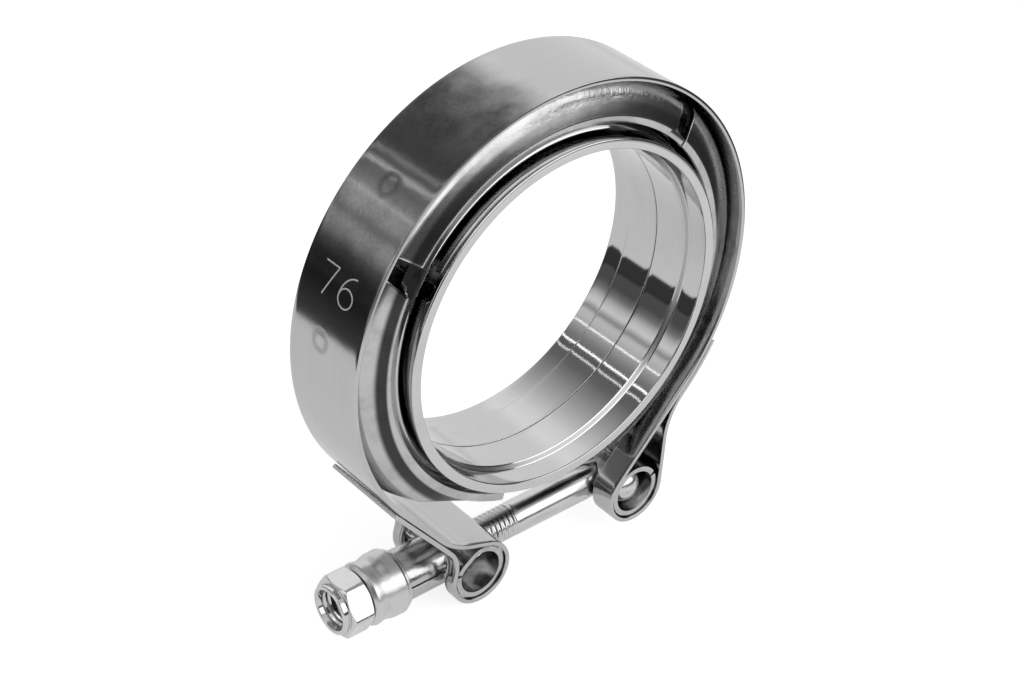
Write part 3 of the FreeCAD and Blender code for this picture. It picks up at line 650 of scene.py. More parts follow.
class BuildBand(bpy.types.Operator):
    """Fold the strip round the ring and through its two loops"""
    bl_idname = "clamp.band"
    bl_label = "Band"

    def execute(self, context):
        c = sizes("clamp_sizes")
        half = c.band_width / 2
        path = np.concatenate([band_right_path()[::-1], band_left_path()[1:]])
        windows = (c.left_window / 2, c.right_window / 2)
        across = np.unique(np.concatenate([np.linspace(-half, half, 23), windows, [-w for w in windows]]))
        points, flat = strip_surface(path, across)
        left_roof = ((c.left_window_from, c.left_window_top), (c.left_window_roof_x, c.left_window_roof),
                     (c.left_window_to, c.left_window_roof))
        right_roof = ((c.right_window_from, c.right_window_top), (c.right_window_to, c.right_window_top))
        kept = (cells_outside(path, across, windows[0], left_roof)
                & cells_outside(path, across, windows[1], right_roof))
        parts = [Grid(points, kept=kept, flat=flat)]
        band = add_piece("band_strip", parts, "clamp", ["band"], strip_metal())
        wall(band, c.band_sheet, 0.0, c.sheet_edge)
        engraving = add_piece("size_figures", figure_strokes(), "clamp", [], engraved_metal())
        wall(engraving, c.stroke_relief, 1.0, 0.0)
        return {"FINISHED"}


def figure_strokes():
    """Strokes of a plain 7 and 6 laid on the band: a path in width and height, wrapped round the ring.

    The seven is a bar and a leg. The six is a quarter of an ellipse that runs into a closed bowl.
    """
    c = sizes("clamp_sizes")
    wide, tall = c.figure_width, c.figure_height
    leg_slant, stem_reach, bowl_half = 0.65 * wide, 0.9 * wide, 0.3 * tall
    clear_of_strip = 0.01
    share = np.linspace(0, 1, 24)[:, None]
    bar = np.array([0.0, tall]) + share * np.array([wide, 0.0])
    leg = np.array([wide, tall]) - share * np.array([leg_slant, tall])
    rise = np.pi / 2 * share[::-1]
    stem = np.concatenate([stem_reach * (1 - np.sin(rise)), bowl_half + (tall - bowl_half) * np.cos(rise)], 1)
    turn = np.pi + 2 * np.pi * np.linspace(0, 1, 60)[:, None]
    bowl = np.concatenate([wide / 2 * (1 + np.cos(turn)), bowl_half * (1 + np.sin(turn))], 1)
    total = 2 * wide + c.figure_gap
    radius = c.ring_radius + c.band_sheet / 2 + clear_of_strip
    across = np.array([-1.0, 0.0, 1.0])[None, :, None] * c.stroke / 2
    parts = []
    for path, start in ((bar, 0.0), (leg, 0.0), (stem, wide + c.figure_gap), (bowl, wide + c.figure_gap)):
        ahead = np.gradient(path, axis=0)
        aside = np.stack([-ahead[:, 1], ahead[:, 0]], -1) / np.linalg.norm(ahead, axis=1)[:, None]
        edges = path[:, None, :] + aside[:, None, :] * across
        place = total / 2 - start - edges[..., 0]
        t = math.radians(c.figure_angle) - edges[..., 1] / radius
        parts.append(Grid(np.stack([radius * np.cos(t), place, radius * np.sin(t)], -1)))
    return parts


class BuildRetainers(bpy.types.Operator):
    """Roll the three channel retainers inside the band"""
    bl_idname = "clamp.retainers"
    bl_label = "Retainers"

    def execute(self, context):
        c = sizes("clamp_sizes")
        metal = sheet_metal()
        slope = (c.lip_half - c.retainer_web_half) / (c.retainer_web - c.lip_radius - c.lip_height)
        lean = math.atan(slope)
        inner_start = c.lip_half - c.retainer_sheet / math.cos(lean)
        web_inner = c.retainer_web - c.retainer_sheet
        shoulder = c.lip_radius + c.lip_height
        inner_half = inner_start - (web_inner - shoulder) * slope
        bend, bend_inside = c.retainer_bend, c.retainer_bend - c.retainer_sheet
        tip = c.lip_half - c.lip_draft
        outer = [(c.lip_radius, -tip), (shoulder, -c.lip_half, c.lip_bend),
                 (c.retainer_web, -c.retainer_web_half, bend), (c.retainer_web, c.retainer_web_half, bend),
                 (shoulder, c.lip_half, c.lip_bend), (c.lip_radius, tip)]
        inner = [(c.lip_radius, c.retainer_sheet - tip), (shoulder, -inner_start, c.lip_bend_inside),
                 (web_inner, -inner_half, bend_inside), (web_inner, inner_half, bend_inside),
                 (shoulder, inner_start, c.lip_bend_inside), (c.lip_radius, tip - c.retainer_sheet)]
        outer, inner = bent(outer), bent(inner)
        loop = np.concatenate([outer, inner[::-1]])
        r = loop[:, 0][None, :]
        share = np.linspace(0, 1, 150)[:, None]
        lead = c.left_lead * (c.retainer_web - r) / (c.retainer_web - c.lip_radius)
        level = shoulder + c.left_cut_height
        corner = np.array([level, c.left_cut_run])
        slope_end = np.array([level - c.left_cut_fall, c.left_cut_reach])
        cut = np.concatenate([corner * [1.0, 0.0] + share * corner * [0.0, 1.0],
                              corner + share[1:] * (slope_end - corner)])
        taper = np.interp(r, np.hypot(cut[:, 0], cut[:, 1]), np.arctan2(cut[:, 1], cut[:, 0]))
        none = 0 * r
        for name, start, span, first_cut, last_cut in (
                ("top", c.top_start, c.top_span, np.arcsin(c.top_notch / r), none),
                ("left", c.left_start, c.left_span, np.arcsin(lead / r), taper),
                ("right", c.right_start, c.right_span, none, none)):
            first = math.radians(start) + first_cut
            last = math.radians(start + span) - last_cut
            side = swung(loop, first + (last - first) * share)
            count = len(outer)
            caps = [Grid(np.stack([side[k][:count], side[k][::-1][:count]], 1)) for k in (0, -1)]
            piece = add_piece("retainer_%s_sheet" % name, [Grid(side, round_v=True), *caps], "clamp",
                              ["retainer_" + name], metal)
            finish_closed(piece, c.sheet_edge)
            if name == "top":
                add_tongues(start, c.top_notch, shoulder, metal)
        return {"FINISHED"}


def bent(corners):
    """Open chain of corners with its inner corners rounded: each arc touches both sides."""
    points = [np.array([corners[0][:2]], float)]
    for i in range(1, len(corners) - 1):
        last, corner, following = (np.array(corners[k][:2], float) for k in (i - 1, i, i + 1))
        to_last, to_next, half, most = corner_sides(last, corner, following, 0.45)
        reach = min(corners[i][2] / np.tan(half), most)
        radius = reach * np.tan(half)
        middle = (to_last + to_next) / np.linalg.norm(to_last + to_next)
        centre = corner + middle * radius / np.sin(half)
        share = np.linspace(0, 1, 7)[:, None]
        ray = (corner + to_last * reach) * (1 - share) + (corner + to_next * reach) * share - centre
        points.append(centre + ray / np.linalg.norm(ray, axis=1)[:, None] * radius)
    points.append(np.array([corners[-1][:2]], float))
    return np.concatenate(points)


def add_tongues(start, notch, top, metal):
    """Lips that reach past the cut end of the top retainer: blocks bent round the ring."""
    c = sizes("clamp_sizes")
    t = math.radians(start) + np.linspace(0, 1, 12)[:, None] * (notch + c.tongue_root) / top
    for side, name in ((-1, "front"), (1, "rear")):
        low, high = sorted((side * (c.lip_half - c.retainer_sheet), side * c.lip_half))
        loop = refined(np.array([(c.lip_radius, low), (top, low), (top, high), (c.lip_radius, high)]), 0.8)
        block = swung(loop, t)
        middle = block.mean(axis=1, keepdims=True)
        caps = [Grid(np.concatenate([block[k][:, None], np.repeat(middle[k][:, None], len(loop), 0)], 1),
                     round_u=True) for k in (0, -1)]
        piece = add_piece("retainer_top_lip_" + name, [Grid(block, round_v=True), *caps], "clamp", [],
                          metal)
        finish_closed(piece, c.sheet_edge)


def finish_closed(piece, edge=0.0):
    """Join the seams of a closed shell, face it outward and round its edges a little."""
    shell = bmesh.new()
    shell.from_mesh(piece.data)
    bmesh.ops.remove_doubles(shell, verts=shell.verts, dist=1e-6)
    bmesh.ops.dissolve_degenerate(shell, edges=shell.edges, dist=1e-7)
    bmesh.ops.recalc_face_normals(shell, faces=shell.faces)
    shell.to_mesh(piece.data)
    shell.free()
    if edge:
        round_edges(piece, edge)


class BuildFlanges(bpy.types.Operator):
    """Turn the two flanges"""
    bl_idname = "clamp.flanges"
    bl_label = "Flanges"

    def execute(self, context):
        f = sizes("flange_sizes")
        metal = turned_metal()
        shoulder = f.socket - f.bore
        front = [(f.socket, -f.front_length, f.edge_break), (f.hub, -f.front_length, f.edge_break),
                 (f.hub, -f.ridge_foot, f.foot_fillet), (f.ridge - f.ridge_break, -f.ridge_half),
                 (f.ridge, f.ridge_break - f.ridge_half), (f.ridge, 0.0),
                 (f.pilot, 0.0, f.pilot_break), (f.pilot, f.pilot_length), (f.bore, f.pilot_length),
                 (f.bore, f.socket_depth + shoulder - f.front_length),
                 (f.socket, f.socket_depth - f.front_length)]
        recess = f.pilot + f.pilot_gap
        depth = f.pilot_length + 2 * f.face_gap
        rear = [(recess, f.face_gap, f.pilot_break), (f.ridge, f.face_gap),
                (f.ridge, f.ridge_half - f.ridge_break), (f.ridge - f.ridge_break, f.ridge_half),
                (f.hub, f.ridge_foot, f.foot_fillet), (f.hub, f.rear_length, f.edge_break),
                (f.socket, f.rear_length, f.edge_break), (f.socket, f.rear_length - f.socket_depth),
                (f.bore, f.rear_length - f.socket_depth - shoulder), (f.bore, depth),
                (recess, depth, f.pilot_break)]
        t = np.linspace(0, 2 * np.pi, 360, endpoint=False)[:, None]
        for name, corners in (("front", front), ("rear", rear)):
            ring = swung(refined(rounded(corners, f.small_break), 1.0), t)
            piece = add_piece(name + "_flange_ring", [Grid(ring, round_u=True, round_v=True)],
                              name + "_flange", [name + "_flange"], metal)
            finish_closed(piece)
        return {"FINISHED"}


class BuildTrunnion(bpy.types.Operator):
    """Roll the cross tube with its barrel, and the sleeve round the cross bar"""
    bl_idname = "clamp.trunnion"
    bl_label = "Trunnion and sleeve"

    def execute(self, context):
        b = sizes("bolt_sizes")
        metal = rolled_metal()
        trunnion = rolled_tube(0.0, b.roll_seam, 0.0, b.hole, b.roll_flat)
        sleeve = rolled_tube(bolt_span(), b.sleeve_seam, 180.0, b.hole)
        for name, node, points in (("trunnion_roll", "barrel_trunnion", trunnion),
                                   ("sleeve_roll", "t_bolt_sleeve", sleeve)):
            roll = add_piece(name, [Grid(points, round_u=True)], "clamp", [node], metal)
            wall(roll, b.roll_sheet, 0.0, b.roll_edge)
        slit = math.radians(b.barrel_slit)
        t = math.radians(b.barrel_seam) + np.linspace(slit, 2 * np.pi - slit, 120)[:, None]
        middle = b.barrel - b.roll_sheet / 2
        saddle = np.sqrt(b.roll ** 2 - (b.barrel * np.sin(t)) ** 2) - b.barrel_sink
        s = saddle + (b.barrel_end - saddle) * np.linspace(0, 1, 30)[None, :]
        barrel = add_piece("trunnion_barrel", [Grid(along_bolt(-s, middle * np.cos(t), middle * np.sin(t)))],
                           "clamp", [], metal)
        wall(barrel, b.roll_sheet, 0.0, b.barrel_edge)
        return {"FINISHED"}


def ridges(s, t, pitch):
    """Ridges of a thread, from 0 in the groove to 1: a trapezium wave of the turn and the place along it."""
    phase = (s / pitch - t / (2 * np.pi)) % 1.0
    return np.clip(2.3 * np.abs(phase - 0.5) - 0.15, 0, 1)


class BuildBolt(bpy.types.Operator):
    """Turn the bolt with its thread and cross bar"""
    bl_idname = "clamp.bolt"
    bl_label = "T-bolt"

    def execute(self, context):
        b = sizes("bolt_sizes")
        end_share, almost_shut, pole = 0.8, 0.02, 0.004
        t = np.linspace(0, 2 * np.pi, 96, endpoint=False)[:, None]
        fine = np.arange(b.thread_end, b.bolt_end - b.point, b.thread_pitch / 10)
        plain = np.linspace(-bolt_span(), b.thread_end, 40, endpoint=False)
        s = np.concatenate([plain, fine, [b.bolt_end - b.point / 2, b.bolt_end, b.bolt_end]])[None, :]
        groove = 1 - ridges(s, t, b.thread_pitch)
        run_out = np.clip((s - b.thread_end) / b.thread_run, 0, 1)
        taper = np.clip((b.bolt_end - s) / b.point, 0, 1)
        r = (b.shank - b.thread_depth * groove * run_out) * (end_share + (1 - end_share) * taper)
        r[:, -1] = almost_shut
        shank = along_bolt(-s, r * np.cos(t), r * np.sin(t))
        lift = np.linspace(pole, np.pi / 2, 24)
        cap = b.bar_half - b.bar_dome * (1 - np.cos(lift))
        y = np.concatenate([cap, -cap[::-1]])[None, :]
        r = b.bar * np.sin(np.concatenate([lift, lift[::-1]]))[None, :]
        bar = along_bolt(bolt_span() + r * np.cos(t), y, r * np.sin(t))
        parts = [Grid(shank, round_u=True), Grid(bar, round_u=True)]
        piece = add_piece("t_bolt_shank", parts, "clamp", ["t_bolt"], shank_metal())
        finish_closed(piece)
        return {"FINISHED"}


class BuildNut(bpy.types.Operator):
    """Turn the thrust collar and cut the nut"""
    bl_idname = "clamp.nut"
    bl_label = "Nut and collar"

    def execute(self, context):
        for name, node, body, points, metal in (
                ("thrust_collar_bell", "thrust_collar", "collar", collar_surface(), collar_metal()),
                ("lock_nut_hex", "lock_nut", "nut", nut_surface(), plated_metal())):
            piece = add_piece(name, [Grid(points, round_u=True, round_v=True)], body, [node],
                              metal)
            finish_closed(piece)
        return {"FINISHED"}


def collar_surface():
    """Collar: its outline turned about the bolt, a point (s, r) at (-s, r cos t, r sin t).

    From the rim it has a rolled bead, a bell that narrows to a waist, and a shoulder against the nut.
    """
    b = sizes("bolt_sizes")
    bore, floor = b.shank + b.collar_gap, b.barrel_end + b.collar_gap
    outline = [(b.collar_end, bore), (floor, bore, 0.1), (floor, b.collar_hollow, 0.1),
               (b.collar_rim, b.collar_hollow), (b.collar_rim, b.collar - 0.6, 0.3),
               (b.collar_rim + 0.8, b.collar - 0.5, 0.3), (b.collar_rim + 1.2, b.collar + 0.1, 1.2),
               (b.collar_rim + 4.0, b.collar + 0.05, 4.0), (b.collar_rim + 6.2, b.collar_waist - 0.1, 3.0),
               (b.collar_end - 1.0, b.collar_waist + 0.35, 1.2), (b.collar_end, b.collar_neck, 0.3)]
    s, r = refined(rounded(outline, 0.2, 9), 0.5).T[:, None, :]
    t = np.linspace(0, 2 * np.pi, 160, endpoint=False)[:, None]
    return along_bolt(-s, r * np.cos(t), r * np.sin(t))


def nut_surface():
    """Nut: at (s, t) the smallest of a hexagon, two chamfer cones and, past the hexagon, the crown.

    The hexagon's radius is its half flats over the cosine of the angle from the nearest flat. Two radii are
    joined by a soft minimum, and the bore carries a helical thread.
    """
    b = sizes("bolt_sizes")
    t = np.linspace(0, 2 * np.pi, 240, endpoint=False)[:, None]
    flat = (t - math.radians(b.nut_turn) + math.pi / 6) % (math.pi / 3) - math.pi / 6
    hexagon = b.nut_flats / np.cos(flat)

    def soft(first, second, reach=0.12):
        blend = np.clip(0.5 + 0.5 * (second - first) / reach, 0, 1)
        return second * (1 - blend) + first * blend - reach * blend * (1 - blend)

    side = np.linspace(b.nut_start, b.nut_hex, 60)[None, :]
    corner_break, chamfer_drop = 0.1, 0.05
    corner = b.nut_flats / math.cos(math.pi / 6) - corner_break
    chamfer, slope = b.nut_flats - chamfer_drop, 1 / math.tan(math.pi / 6)
    body = soft(hexagon, corner + 0 * side, 0.25)
    body = soft(body, chamfer + (side - b.nut_start) * slope)
    body = soft(body, chamfer + (b.nut_hex - side) * slope)
    ends = np.array([b.nut_start, b.nut_start])[None, :]
    inner_face = np.array([4.4, 6.2])[None, :]
    mouth = b.nut_end - b.nut_mouth_depth
    crown = rounded([(b.nut_hex, 6.1), (b.nut_hex, b.nut_crown, 0.25), (b.nut_end, b.nut_crown, 0.5),
                     (b.nut_end, b.nut_mouth), (mouth, 4.2)], 0.3, 7)[5:-5]
    bore = np.linspace(mouth, b.nut_start, 70)[None, :]
    thread = b.shank + b.nut_thread_gap + b.nut_thread_depth * ridges(bore, t, b.thread_pitch)
    s = np.concatenate([ends, side, crown[:, 0][None, :], bore], 1)
    r = np.concatenate([inner_face + 0 * t, body, crown[:, 1][None, :] + 0 * t, thread], 1)
    return along_bolt(-s, r * np.cos(t), r * np.sin(t))


# Weld marks of the band: place round the ring in degrees, and along Y in millimetres
WELDS = ((173.6, 1.2), (135.9, 0.4), (-1.8, -7.6), (-23.8, -7.5))


def round_bore(x, z):
    """Distance from the bore's axis, and the angle round it from +X toward +Z in degrees."""
    return (x * x + z * z).math("SQRT"), z.math("ARCTAN2", x) * (180.0 / math.pi)


def strip_metal():
    """Bright strip with a fine lengthwise grain, weld marks, and from its top to its left a clouded staining
    with painted dark reflections.

    The staining with its painted reflections is only on the outside. This painted shade darkens at the ring's
    top, lightens past it, darkens again toward the figures and ends there. A weld mark is a ring with a soft,
    uneven edge.
    """
    c = sizes("clamp_finishes")
    paint = Paint("band_polished_strip", c.strip, 0.2)
    x, y, z = place = paint.place()
    radius, turn = round_bore(x, z)
    grain = paint.noise(paint.strip_place(), (0.05, 5.0))
    cloud = paint.noise(place, 0.12, 3.0, 0.5)
    speck = paint.noise(place, 1.3, 3.0)
    ragged_turn = turn + (cloud - 0.5) * 10.0
    ring = sizes("clamp_sizes").ring_radius
    outside = radius.between(ring - 0.2, ring + 0.2) * (1.0 - turn.between(158.0, 170.0))
    # Clouded staining mixed with painted dark reflections: the steps round the ring from the top to the left
    # are painted shade.
    first_step = ragged_turn.between(96.0, 112.0)
    stain_and_painted_reflection = first_step * 0.78 - ragged_turn.between(119.0, 135.0) * 0.4
    stain_and_painted_reflection = stain_and_painted_reflection + ragged_turn.between(136.0, 152.0) * 0.2 + turn.between(149.0, 157.0) * 0.15
    stain_and_painted_reflection = stain_and_painted_reflection * (cloud * 0.7 + 0.65) + first_step * (speck - 0.5) * 0.2
    marks, mm_per_degree = 0.0, 0.91
    for weld_turn, weld_y in WELDS:
        along, across = (turn - weld_turn) * mm_per_degree, y - weld_y
        apart = (along * along + across * across).math("SQRT") + (speck - 0.5) * 1.2
        marks = apart.between(0.9, 1.9) * (1.0 - apart.between(2.0, 3.2)) + marks
    shade = (1.0 - outside * stain_and_painted_reflection) * (1.0 - grain.between(0.5, 0.75) * 0.1)
    shade = shade * (1.0 - marks * 0.3) * (1.0 - speck.between(0.62, 0.74) * cloud * 0.12)
    paint.set("Base Color", paint.grey(shade * c.strip[0]))
    paint.set("Roughness", 0.08 + grain * 0.05 + speck * 0.04)
    paint.bump(grain * 0.003 + cloud * 0.04 + speck * 0.002 - marks * 0.012, 1.0)
    return paint


def engraved_metal():
    """Frosted strokes of the engraved figures."""
    c = sizes("clamp_finishes")
    paint = Paint("band_engraved_frost", c.figures, 0.75)
    frost = paint.noise(paint.place(), 6.0, 3.0)
    paint.set("Base Color", paint.grey(c.figures[0] - frost * 0.2))
    paint.bump(frost, 0.02)
    return paint


def sheet_metal():
    """Rolled sheet: clouded legs with painted shade, and crinkles and roller marks in the bends at the top.

    The painted shade on the legs is light all round. It deepens in two steps from the top down the left side,
    and lightens again at the lower left.
    """
    c, s = sizes("clamp_finishes"), sizes("clamp_sizes")
    paint = Paint("retainer_rolled_sheet", c.sheet, 0.2)
    x, y, z = place = paint.place()
    radius, turn = round_bore(x, z)
    cloud = paint.noise(place, 0.15, 5.0)
    crinkle = paint.noise(place, (0.9, 1.6, 0.9))
    fine = paint.noise((radius, y), 6.0, 2.0)
    chatter = paint.noise((turn, radius), (1.6, 0.3), 2.0)
    top = turn.between(52.0, 62.0) * (1.0 - turn.between(98.0, 116.0)) * radius.between(46.0, 49.0)
    rolled_in = turn.between(62.0, 70.0) * (1.0 - turn.between(92.0, 102.0)) * radius.between(47.5, 49.0)
    shoulder = s.lip_radius + s.lip_height
    leg = radius.between(shoulder, shoulder + 0.5) * (1.0 - radius.between(shoulder + 2.0, shoulder + 3.2))
    from_left = round_bore(x * -1.0, z * -1.0)[1]
    # Painted shade on the legs: light all round, deeper in two steps down the left side, lighter again at the
    # lower left.
    leg_painted_shade = from_left.between(-82.0, -60.0) * 0.25 + from_left.between(-40.0, -24.0) * 0.25
    leg_painted_shade = leg_painted_shade * (1.0 - from_left.between(48.0, 66.0)) + 0.4
    shade = (1.0 - cloud.between(0.4, 0.7) * 0.25) * (1.0 - leg * leg_painted_shade)
    paint.set("Base Color", paint.grey(shade * c.sheet[0]))
    paint.set("Roughness", 0.12 + cloud * 0.08 + fine * 0.04 + top * 0.06)
    relief = cloud * 0.03 + crinkle * top * 0.1 + chatter * rolled_in * 0.1 + fine * 0.001
    paint.bump(relief, 1.0)
    return paint


def turned_metal():
    """Turned steel: fine rings of the tool, painted shade in the groove at the ridge's foot, and a socket
    shoulder that is rougher and carries painted shade.
    """
    c, f = sizes("clamp_finishes"), sizes("flange_sizes")
    paint = Paint("flange_turned_steel", c.turned, 0.12)
    x, y, z = place = paint.place()
    radius = round_bore(x, z)[0]
    lines = paint.noise((radius, y), 7.0, 2.0)
    cloud = paint.noise(place, 0.1)
    past_foot = y.math("ABSOLUTE").between(f.ridge_foot + 0.07, f.ridge_foot + 0.57)
    # Painted shade in the groove at the ridge's foot, where the gap under the retainers lies in shade.
    groove = radius.between(f.hub + 0.1, f.hub + 0.8) * (1.0 - past_foot)
    # The socket shoulder is rougher and also carries painted shade.
    shoulder = radius.between(f.bore + 0.05, f.bore + 0.3)
    shoulder = shoulder * (1.0 - radius.between(f.socket - 0.3, f.socket - 0.05))
    shade = 1.0 - lines.between(0.55, 0.75) * 0.1 - cloud.between(0.5, 0.8) * 0.08
    # Painted shade: a darker groove at the ridge's foot and a darker socket shoulder.
    shade = shade * (1.0 - groove * 0.55) * (1.0 - shoulder * 0.3)
    paint.set("Base Color", paint.grey(shade * c.turned[0]))
    paint.set("Roughness", 0.03 + lines * 0.03 + cloud * 0.01 + shoulder * 0.25)
    paint.bump(lines, 0.003)
    return paint


def clouded_metal(name, tone, waves, distortion, edges, darker, roughness, rougher, depth):
    """Metal whose colour, roughness and relief follow one clouded noise: it darkens between the two edges."""
    paint = Paint(name, tone, roughness)
    cloud = paint.noise(paint.place(), waves, distortion=distortion)
    paint.set("Base Color", paint.grey((1.0 - cloud.between(*edges) * darker) * tone[0]))
    paint.set("Roughness", roughness + cloud * rougher)
    paint.bump(cloud, depth)
    return paint


def rolled_metal():
    """Rolled tubes with a cloudy polish."""
    return clouded_metal("trunnion_polished_tube", sizes("clamp_finishes").rolled, waves=0.35, distortion=0.5,
                         edges=(0.5, 0.75), darker=0.25, roughness=0.12, rougher=0.12, depth=0.1)


def plated_metal():
    """Bright plating of the nut."""
    return clouded_metal("nut_bright_plating", sizes("clamp_finishes").plated, waves=0.7, distortion=0.0,
                         edges=(0.55, 0.8), darker=0.12, roughness=0.06, rougher=0.1, depth=0.02)


def collar_metal():
    """Softer plating of the drawn collar."""
    return clouded_metal("collar_satin_plating", sizes("clamp_finishes").satin, waves=0.3, distortion=0.5,
                         edges=(0.5, 0.8), darker=0.15, roughness=0.26, rougher=0.1, depth=0.05)


def shank_metal():
    """Bright bolt with marks drawn out along its shank."""
    return clouded_metal("bolt_bright_steel", sizes("clamp_finishes").shank, waves=(0.1, 0.9, 0.9),
                         distortion=0.0, edges=(0.5, 0.75), darker=0.2, roughness=0.14, rougher=0.12,
                         depth=0.03)


class BuildStage(bpy.types.Operator):
    """Set up the floor, the camera, the lamps and the white and grey surroundings"""
    bl_idname = "clamp.stage"
    bl_label = "Stage"

    def execute(self, context):
        s = sizes("studio_sizes")
        context.scene.view_settings.view_transform = "Standard"
        add_camera(s)
        add_floor(CAD_BOX[0][2] - s.floor_gap * MM)
        add_world()
        for name, azimuth, elevation, width, height, radiance in LAMPS:
            add_lamp(name, direction(azimuth, elevation) * LAMP_DISTANCE, width, height, radiance)
        add_surround()
        return {"FINISHED"}


# Lamps: name, azimuth and elevation in degrees, width and height in metres, brightness
LAMPS = (("lamp_front", 12.0, 27.0, 1.4, 0.56, 1.9),
         ("lamp_left", -95.0, 12.0, 0.5, 0.5, 1.0))

# Distance of the lamps, radius of the surroundings and half the floor's side in metres
LAMP_DISTANCE = 0.8
SURROUND_RADIUS = 1.4
FLOOR_REACH = 3.0

# Share of the white surroundings that lights the scene
SOFT_LIGHT = 0.55

# Grey of the dark studio behind the clamp, by the angle round the bore's axis from +X toward +Z
BEHIND = ((0.0, 0.95), (50.0, 1.0), (60.0, 1.15), (72.0, 1.05), (80.0, 0.85), (92.0, 0.58), (104.0, 0.36),
          (114.0, 0.2), (125.0, 0.16), (134.0, 0.34), (146.0, 0.78), (150.0, 0.85), (153.0, 0.35),
          (158.0, 1.0), (163.0, 0.75), (168.0, 0.28), (174.0, 0.11), (192.0, 0.12), (200.0, 0.06),
          (262.0, 0.04), (300.0, 0.9))

# Narrow tube lamps behind the clamp: angle round the bore's axis, width in degrees and grey
TUBES = ((121.8, 0.3, 3.0), (128.0, 0.4, 4.5), (141.8, 0.35, 3.0))


def direction(azimuth, elevation):
    """Unit vector at an azimuth from -Y toward +X and an elevation."""
    az, el = math.radians(azimuth), math.radians(elevation)
    return np.array([math.sin(az) * math.cos(el), -math.cos(az) * math.cos(el), math.sin(el)])


def add_camera(s):
    """Camera aimed by azimuth, elevation and roll, moved sideways in its own picture plane."""
    scene = bpy.context.scene
    back = direction(s.azimuth, s.elevation)
    right = direction(s.azimuth + 90.0, 0.0)
    up = np.cross(back, right)
    roll = math.radians(s.roll)
    across = right * math.cos(roll) + up * math.sin(roll)
    upright = up * math.cos(roll) - right * math.sin(roll)
    place = np.array([0.0, s.aim_y, 0.0]) + back * s.distance - across * s.aside - upright * s.above
    camera = bpy.data.objects.new("studio_camera", bpy.data.cameras.new("studio_camera"))
    scene.collection.objects.link(camera)
    camera.data.lens = s.lens
    camera.data.sensor_width = 36.0
    camera.data.clip_start = 0.01
    camera.data.clip_end = 20.0
    turn = Matrix([list(column) for column in zip(across, upright, back)]).to_4x4()
    camera.matrix_world = Matrix.Translation(place * MM) @ turn
    scene.camera = camera


def add_floor(height):
    """Pale floor under the clamp, part its own white and part what falls on it, so that shadows stay.

    Reflections see it bright only as a table to one side, and dark elsewhere.
    """
    mesh = bpy.data.meshes.new("floor")
    corners = [(x * FLOOR_REACH, y * FLOOR_REACH, height) for x, y in ((-1, -1), (1, -1), (1, 1), (-1, 1))]
    mesh.from_pydata(corners, [], [(0, 1, 2, 3)])
    floor = bpy.data.objects.new("floor", mesh)
    bpy.context.scene.collection.objects.link(floor)
    paint = Paint("pale_floor", (0.5, 0.5, 0.5), 0.9, 0.0)
    paint.shader.inputs["Specular IOR Level"].default_value = 0.0
    x, y = paint.place()[:2]
    side = 1.0 - x.between(170.0, 215.0) * (1.0 - y.between(-20.0, 60.0))
    table = (x - y * 0.2).between(-225.0, -210.0) * y.between(-380.0, -300.0) * side
    shiny = Value(paint, paint.node("ShaderNodeLightPath").outputs["Is Glossy Ray"])
    lit = 1.0 - shiny * (1.0 - table) * 0.94
    paint.set("Emission Color", paint.grey(paint.seen_directly() * lit * (0.75 - shiny * 0.45)))
    paint.set("Base Color", paint.grey(lit * (0.5 + shiny * 0.3)))
    paint.shader.inputs["Emission Strength"].default_value = 1.0
    mesh.materials.append(paint.material)


def add_world():
    """White surroundings for the camera and reflections, and a softer light on the scene."""
    world = bpy.data.worlds.new("studio")
    world.use_nodes = True
    nodes = Nodes(world.node_tree)
    white = nodes.tree.nodes["Background"]
    white.inputs["Color"].default_value = (1.0, 1.0, 1.0, 1.0)
    soft = nodes.node("ShaderNodeBackground", inputs={"Color": (1.0, 1.0, 1.0, 1.0), "Strength": SOFT_LIGHT})
    mix = nodes.node("ShaderNodeMixShader", inputs={0: nodes.seen_directly(), 1: soft.outputs[0],
                                                    2: white.outputs[0]})
    nodes.feed(nodes.tree.nodes["World Output"].inputs["Surface"], mix.outputs[0])
    bpy.context.scene.world = world


def aimed(place):
    """Matrix that stands at a place and looks at the origin."""
    return Matrix.Translation(place) @ Vector(-place).to_track_quat("-Z", "Y").to_matrix().to_4x4()


def add_lamp(name, place, width, height, radiance):
    """Rectangular area lamp aimed at the origin, with a stated brightness of its face."""
    data = bpy.data.lights.new(name, "AREA")
    data.shape = "RECTANGLE"
    data.size, data.size_y = width, height
    data.energy = radiance * math.pi * width * height
    lamp = bpy.data.objects.new(name, data)
    bpy.context.scene.collection.objects.link(lamp)
    lamp.matrix_world = aimed(place)


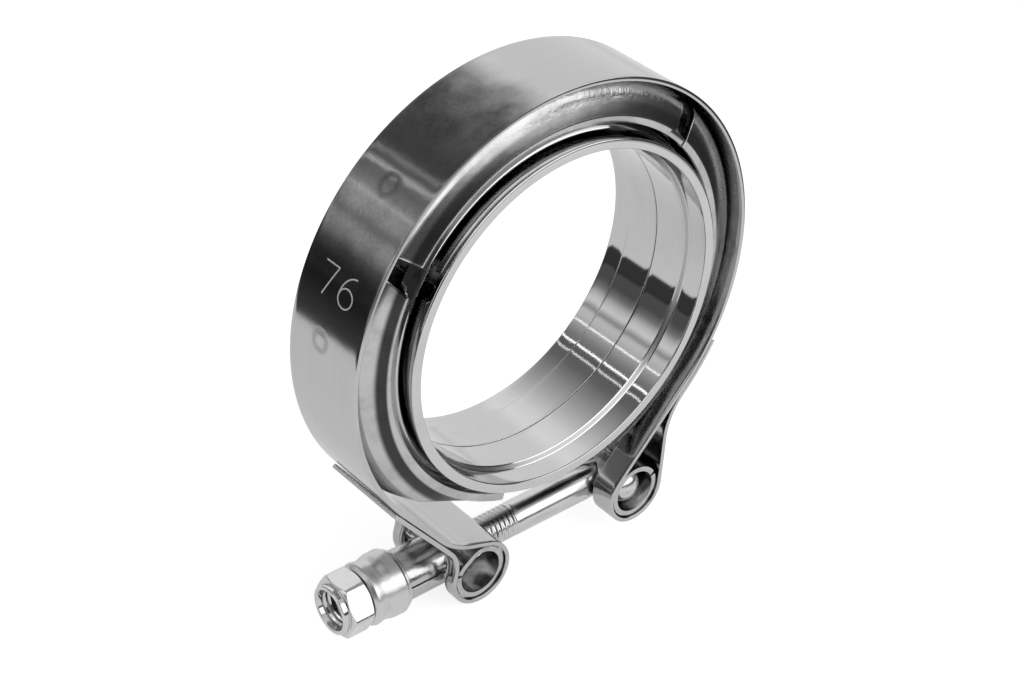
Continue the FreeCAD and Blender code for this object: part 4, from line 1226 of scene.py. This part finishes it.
def add_surround():
    """Dark studio round the clamp: a sphere by its polar angle and its turn, which only reflections see.

    Its grey depends on the angle round the bore's axis behind the clamp, and on the height in front of it.
    """
    pole = 0.005
    polar = np.linspace(pole, np.pi - pole, 40)[None, :]
    t = np.linspace(0, 2 * np.pi, 72, endpoint=False)[:, None]
    points = np.stack([np.sin(polar) * np.cos(t), np.sin(polar) * np.sin(t), np.cos(polar) + 0 * t], -1)
    mesh = smooth_mesh("surround", [Grid(points * SURROUND_RADIUS / MM, round_u=True)])
    dome = bpy.data.objects.new("surround", mesh)
    bpy.context.scene.collection.objects.link(dome)
    dome.visible_camera = dome.visible_diffuse = dome.visible_shadow = False
    paint = Paint("dark_studio", (0.0, 0.0, 0.0), 1.0, 0.0)
    paint.tree.nodes.remove(paint.shader)
    x, y, z = [value / (SURROUND_RADIUS / MM) for value in paint.place()]
    turn = (z.math("ARCTAN2", x) * (0.5 / math.pi)).math("FRACT")
    ramp = paint.node("ShaderNodeValToRGB", inputs={0: turn})
    stops = ramp.color_ramp.elements
    for k, (angle_here, grey) in enumerate(BEHIND):
        stop = stops[k] if k < 2 else stops.new(angle_here / 360)
        stop.position = angle_here / 360
        stop.color = (grey, grey, grey, 1.0)
    behind = Value(paint, ramp.outputs[0])
    for angle_here, width, grey in TUBES:
        line = (turn * 360.0 - angle_here).math("ABSOLUTE")
        behind = behind.math("MAXIMUM", (1.0 - line.between(width * 0.6, width)) * grey)
    front = 0.08 + z.between(0.5, 0.75) * 0.7
    back = y.between(-0.05, 0.25)
    tone = behind * back + front * (1.0 - back)
    glow = paint.node("ShaderNodeEmission", inputs={"Color": paint.grey(tone)})
    paint.feed(paint.tree.nodes["Material Output"].inputs["Surface"], glow.outputs[0])
    dome.data.materials.append(paint.material)


class ClampPanel(bpy.types.Panel):
    """Sizes, finishes and steps of the clamp"""
    bl_label = "V-band clamp"
    bl_idname = "VIEW3D_PT_v_band_clamp"
    bl_space_type = "VIEW_3D"
    bl_region_type = "UI"
    bl_category = "Clamp"

    def draw(self, context):
        for name, group in GROUPS.items():
            box = self.layout.box()
            box.label(text=group.__doc__)
            for field in group.__annotations__:
                box.prop(getattr(context.scene, name), field)
        for step in STEPS:
            self.layout.operator(step.bl_idname)


STEPS = (BuildBand, BuildRetainers, BuildFlanges, BuildTrunnion, BuildBolt, BuildNut, BuildStage)


def register():
    for kind in (*GROUPS.values(), *STEPS, ClampPanel):
        bpy.utils.register_class(kind)
    for name, group in GROUPS.items():
        setattr(bpy.types.Scene, name, bpy.props.PointerProperty(type=group))


def unregister():
    for name in GROUPS:
        delattr(bpy.types.Scene, name)
    for kind in reversed((*GROUPS.values(), *STEPS, ClampPanel)):
        bpy.utils.unregister_class(kind)


def main():
    register()
    for step in STEPS:
        group, name = step.bl_idname.split(".")
        getattr(getattr(bpy.ops, group), name)()


if __name__ == "__main__":
    main()
